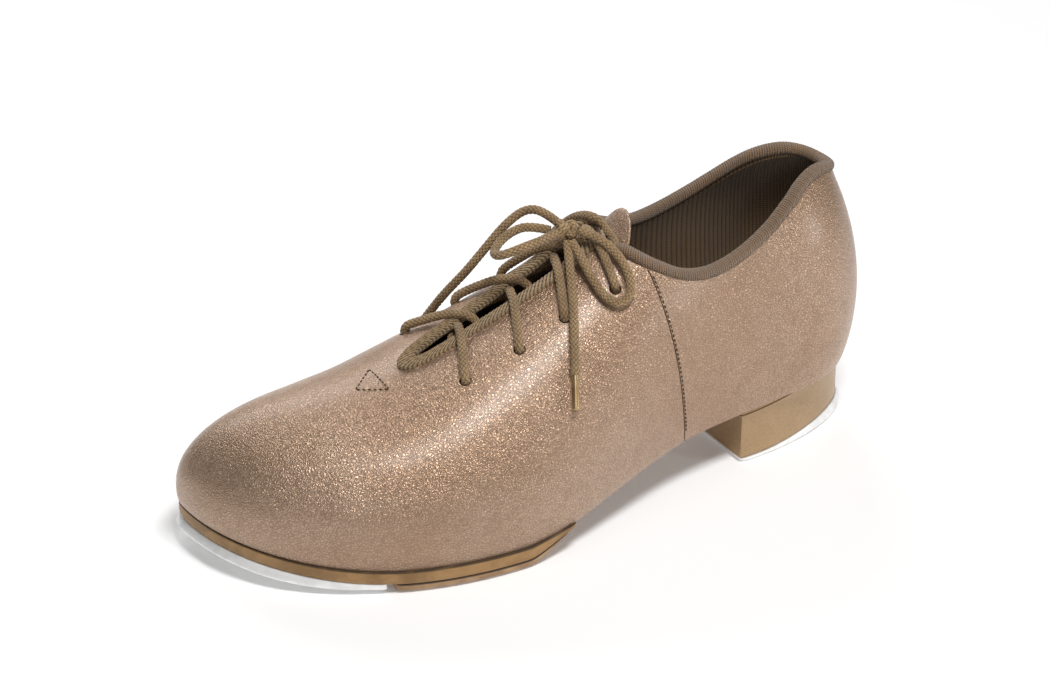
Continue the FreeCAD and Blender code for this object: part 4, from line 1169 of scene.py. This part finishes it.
# %% Lace yarn
def lace_finish(name, tone, dark):
    f = Finish(name, Sheen_Weight=0.25, Sheen_Roughness=0.45, Specular_IOR_Level=0.3)
    u, v, _ = f.parts(f.where("UV"))
    around, ahead = v / (2 * math.pi * LACE / 1000), u / (BRAID_TURN / 1000)
    one, other = (around + ahead) * YARNS, (around - ahead) * YARNS
    upper, lower = (one * math.pi).sine().size(), (other * math.pi).sine().size()
    turned = one.math("FLOOR", one) + other.math("FLOOR", other)
    swapped = turned.math("PINGPONG", turned, 1.0)
    yarn = upper + (lower - upper) * swapped
    threads = (one * (6 * math.pi)).sine() + (other * (6 * math.pi)).sine()
    fuzz = f.noise(f.where(), 0.0004, 3.0)
    patches = f.noise(f.where(), 0.006, 2.0)
    # Painted shade: the hollows between the crossing yarns are darkened.
    shade = f.mix((1 - yarn).between(0.15, 0.85) * 0.8, tone, dark)
    shade = f.mix(threads.between(-1.4, 1.6) * 0.25 + fuzz * 0.25, shade, dark)
    shade = f.mix(patches.between(0.4, 0.65) * 0.25, shade, dark)
    f.bump(yarn + threads * 0.2 + fuzz, 0.00025, 0.8)
    return f.look(Base_Color=shade, Roughness=0.72)


lace_yarn = lace_finish("lace_yarn", srgb(196, 163, 120), srgb(84, 62, 33))


# %% Plain finishes with wear, and painted shade along the soles' top edges
def wear_and_crevice_shade(name, tone, other, size, rough, metal=0.0, relief=0.0, scratch=0.0, crevice_shade_colour=None, **constants):
    f = Finish(name, **constants)
    at = f.where()
    cloud = f.noise(at, size, 4.0)
    fine = f.noise(at, size / 14, 3.0)
    shade = f.mix(cloud.between(0.38, 0.66), tone, other)
    roughness = rough + cloud * 0.12 + fine * 0.05
    # Painted shade: the rows at the top of the edge, in the crevice under the piece above, are darkened.
    if crevice_shade_colour:
        _, rows, _ = f.parts(f.where("UV"))
        shade = f.mix((1 - rows.between(0.0074, 0.0084)) * 0.9, shade, crevice_shade_colour)
    if scratch:
        marks = f.noise(f.scaled(at, 1.0, 12.0, 12.0), 0.02, 5.0)
        shade = f.mix(marks.between(0.52, 0.7) * scratch, shade, other)
        roughness = roughness + marks.between(0.5, 0.7) * 0.12
    if relief:
        f.bump(fine * 0.6 + cloud, relief, 0.6)
    return f.look(Base_Color=shade, Roughness=roughness, Metallic=metal)


# Painted shade for the crevice where the upper meets the sole, and where the sole meets the pad.
PAINTED_CREVICE_SHADE = srgb(40, 27, 14)
sole_leather = wear_and_crevice_shade("sole_leather", srgb(166, 128, 80), srgb(134, 100, 58), 0.012, 0.4, 0.0, 0.0002, 0.3, PAINTED_CREVICE_SHADE)
pad_leather = wear_and_crevice_shade("pad_leather", srgb(178, 145, 106), srgb(146, 112, 76), 0.009, 0.45, 0.0, 0.0002, 0.2, PAINTED_CREVICE_SHADE)
tap_metal = wear_and_crevice_shade("tap_aluminium", srgb(252, 252, 251), srgb(234, 234, 233), 0.008, 0.3, 0.35, 0.00006, 0.2)
screw_metal = wear_and_crevice_shade("screw_steel", srgb(176, 174, 170), srgb(120, 118, 114), 0.003, 0.3, 0.95, 0.00005)
tip_metal = wear_and_crevice_shade("tip_metal", srgb(196, 170, 128), srgb(170, 142, 102), 0.004, 0.24, 0.9)
thread_dark = wear_and_crevice_shade("thread_dark", srgb(96, 72, 48), srgb(62, 44, 28), 0.0012, 0.7, 0.0, 0.0001)
board_fibre = wear_and_crevice_shade("board_fibre", srgb(150, 122, 86), srgb(116, 92, 62), 0.003, 0.8, 0.0, 0.0002)
sock_cloth = wear_and_crevice_shade("sock_cloth", srgb(120, 94, 64), srgb(84, 62, 38), 0.002, 0.85, 0.0, 0.0003, Sheen_Weight=0.3)
foam_soft = wear_and_crevice_shade("foam_soft", srgb(206, 190, 160), srgb(176, 160, 130), 0.0015, 0.9, 0.0, 0.0003)


# %% [markdown]
# ## Which piece wears what, and what it follows
# The upper, linings, insoles and the roll are tied to no body and stay where they are.  Everything hard
# follows one body.

# %% Finish, body and place of each piece
WAIST_FRONT, WAIST_BACK = placed((100.0, 3.5, 18.0)), placed((66.0, 3.5, 18.0))


def dress(piece, material, body=None, stands_for=()):
    piece.data.materials.clear()
    piece.data.materials.append(material)
    if stands_for:
        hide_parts(*stands_for)
    if body:
        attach(piece, body)
    else:
        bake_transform(piece)


dress(vamp, pearl, None, ["vamp_upper"])
dress(quarter_piece, pearl, None, ["heel_quarter"])
dress(vamp_lining, lining_cloth, None, ["vamp_lining"])
dress(padding, foam_soft, None, ["quarter_padding"])
dress(terry, terry_knit, None, ["quarter_lining"])
dress(board, board_fibre, None, ["front_insole_board", "heel_insole_board"])
dress(sock, sock_cloth, None, ["front_sock", "heel_sock"])
dress(binding, elastic_web, None, ["throat_binding"])
dress(collar, collar_knit, None, ["collar_front", "collar_rear"])
dress(outsole, sole_leather, "forepart", ["forefoot_outsole"])
dress(pad, pad_leather, "forepart", ["half_sole_pad"])
dress(toe_tap, tap_metal, "forepart", ["toe_tap"])
dress(heel_tap, tap_metal, "heelpart", ["heel_tap"])
dress(block, heel_leather, "heelpart", ["heel_block"])
dress(tongue_leather, pearl, "tongue", ["tongue_leather"])
dress(tongue_lining, lining_cloth, "tongue", ["tongue_lining"])
dress(seam_stitches, thread_dark, None, ["seam_stitching"])
dress(tack_stitches, thread_dark, "forepart", ["tongue_tack_stitching"])
for name, piece in laces.items():
    dress(piece, lace_yarn, "forepart", [name])
for name, piece in tips.items():
    dress(piece, tip_metal, "forepart", [name])
CAD_FINISHES = {"heel_tap_screws": screw_metal, "toe_tap_screws": screw_metal, "heel_nails": screw_metal,
                "heel_counter": board_fibre, "toe_puff": board_fibre}
for name, material in CAD_FINISHES.items():
    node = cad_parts[name]
    node.data.materials.clear()
    node.data.materials.append(material)

# %% [markdown]
# ## Floor and light
# A plain white floor, a weak white world, and soft lamps: one high up for the sheen along the vamp, a weak one
# in front for the taps' edges, a small one beside the heel, and a wide one behind.  The floor glows a little,
# which keeps it white at the edges.

# %% Stage
bpy.ops.object.select_all(action="DESELECT")
bpy.ops.mesh.primitive_plane_add(size=8.0, location=(0, 0, -0.0004))
floor = bpy.context.object
floor.name = "floor"
white = Finish("floor_white", Specular_IOR_Level=0.1, Emission_Color=(1, 1, 1, 1), Emission_Strength=0.1)
tint = white.noise(white.where(), 0.8, 1.0)
floor_tone = white.mix(tint * 0.02, srgb(252, 252, 252), srgb(246, 246, 246))
floor.data.materials.append(white.look(Base_Color=floor_tone, Roughness=0.9))

world = bpy.data.worlds.new("white_room")
bpy.context.scene.world = world
world.use_nodes = True
world.node_tree.nodes["Background"].inputs[0].default_value = (1.0, 1.0, 1.0, 1.0)
world.node_tree.nodes["Background"].inputs[1].default_value = 0.14
bpy.context.scene.view_settings.view_transform = "Standard"


def lamp(name, place, aim, size, power):
    bpy.ops.object.light_add(type="AREA", location=place)
    light = bpy.context.object
    light.name = name
    light.data.shape = "RECTANGLE"
    light.data.size, light.data.size_y = size
    light.data.energy = power
    light.rotation_mode = "QUATERNION"
    light.rotation_quaternion = (Vector(aim) - Vector(place)).to_track_quat("-Z", "Y")


lamp("top_softbox", (0.05, 0.45, 1.2), (0.03, 0.0, 0.03), (0.45, 0.3), 11.5)
lamp("front_softbox", (0.55, 1.1, 0.5), (0.04, 0.0, 0.02), (0.4, 0.2), 1.2)
lamp("heel_softbox", (-0.9, 0.8, 0.26), (-0.06, 0.0, 0.05), (0.3, 0.25), 3.0)
lamp("back_softbox", (-0.15, -1.0, 0.7), (0.02, 0.0, 0.04), (1.0, 0.4), 6.0)
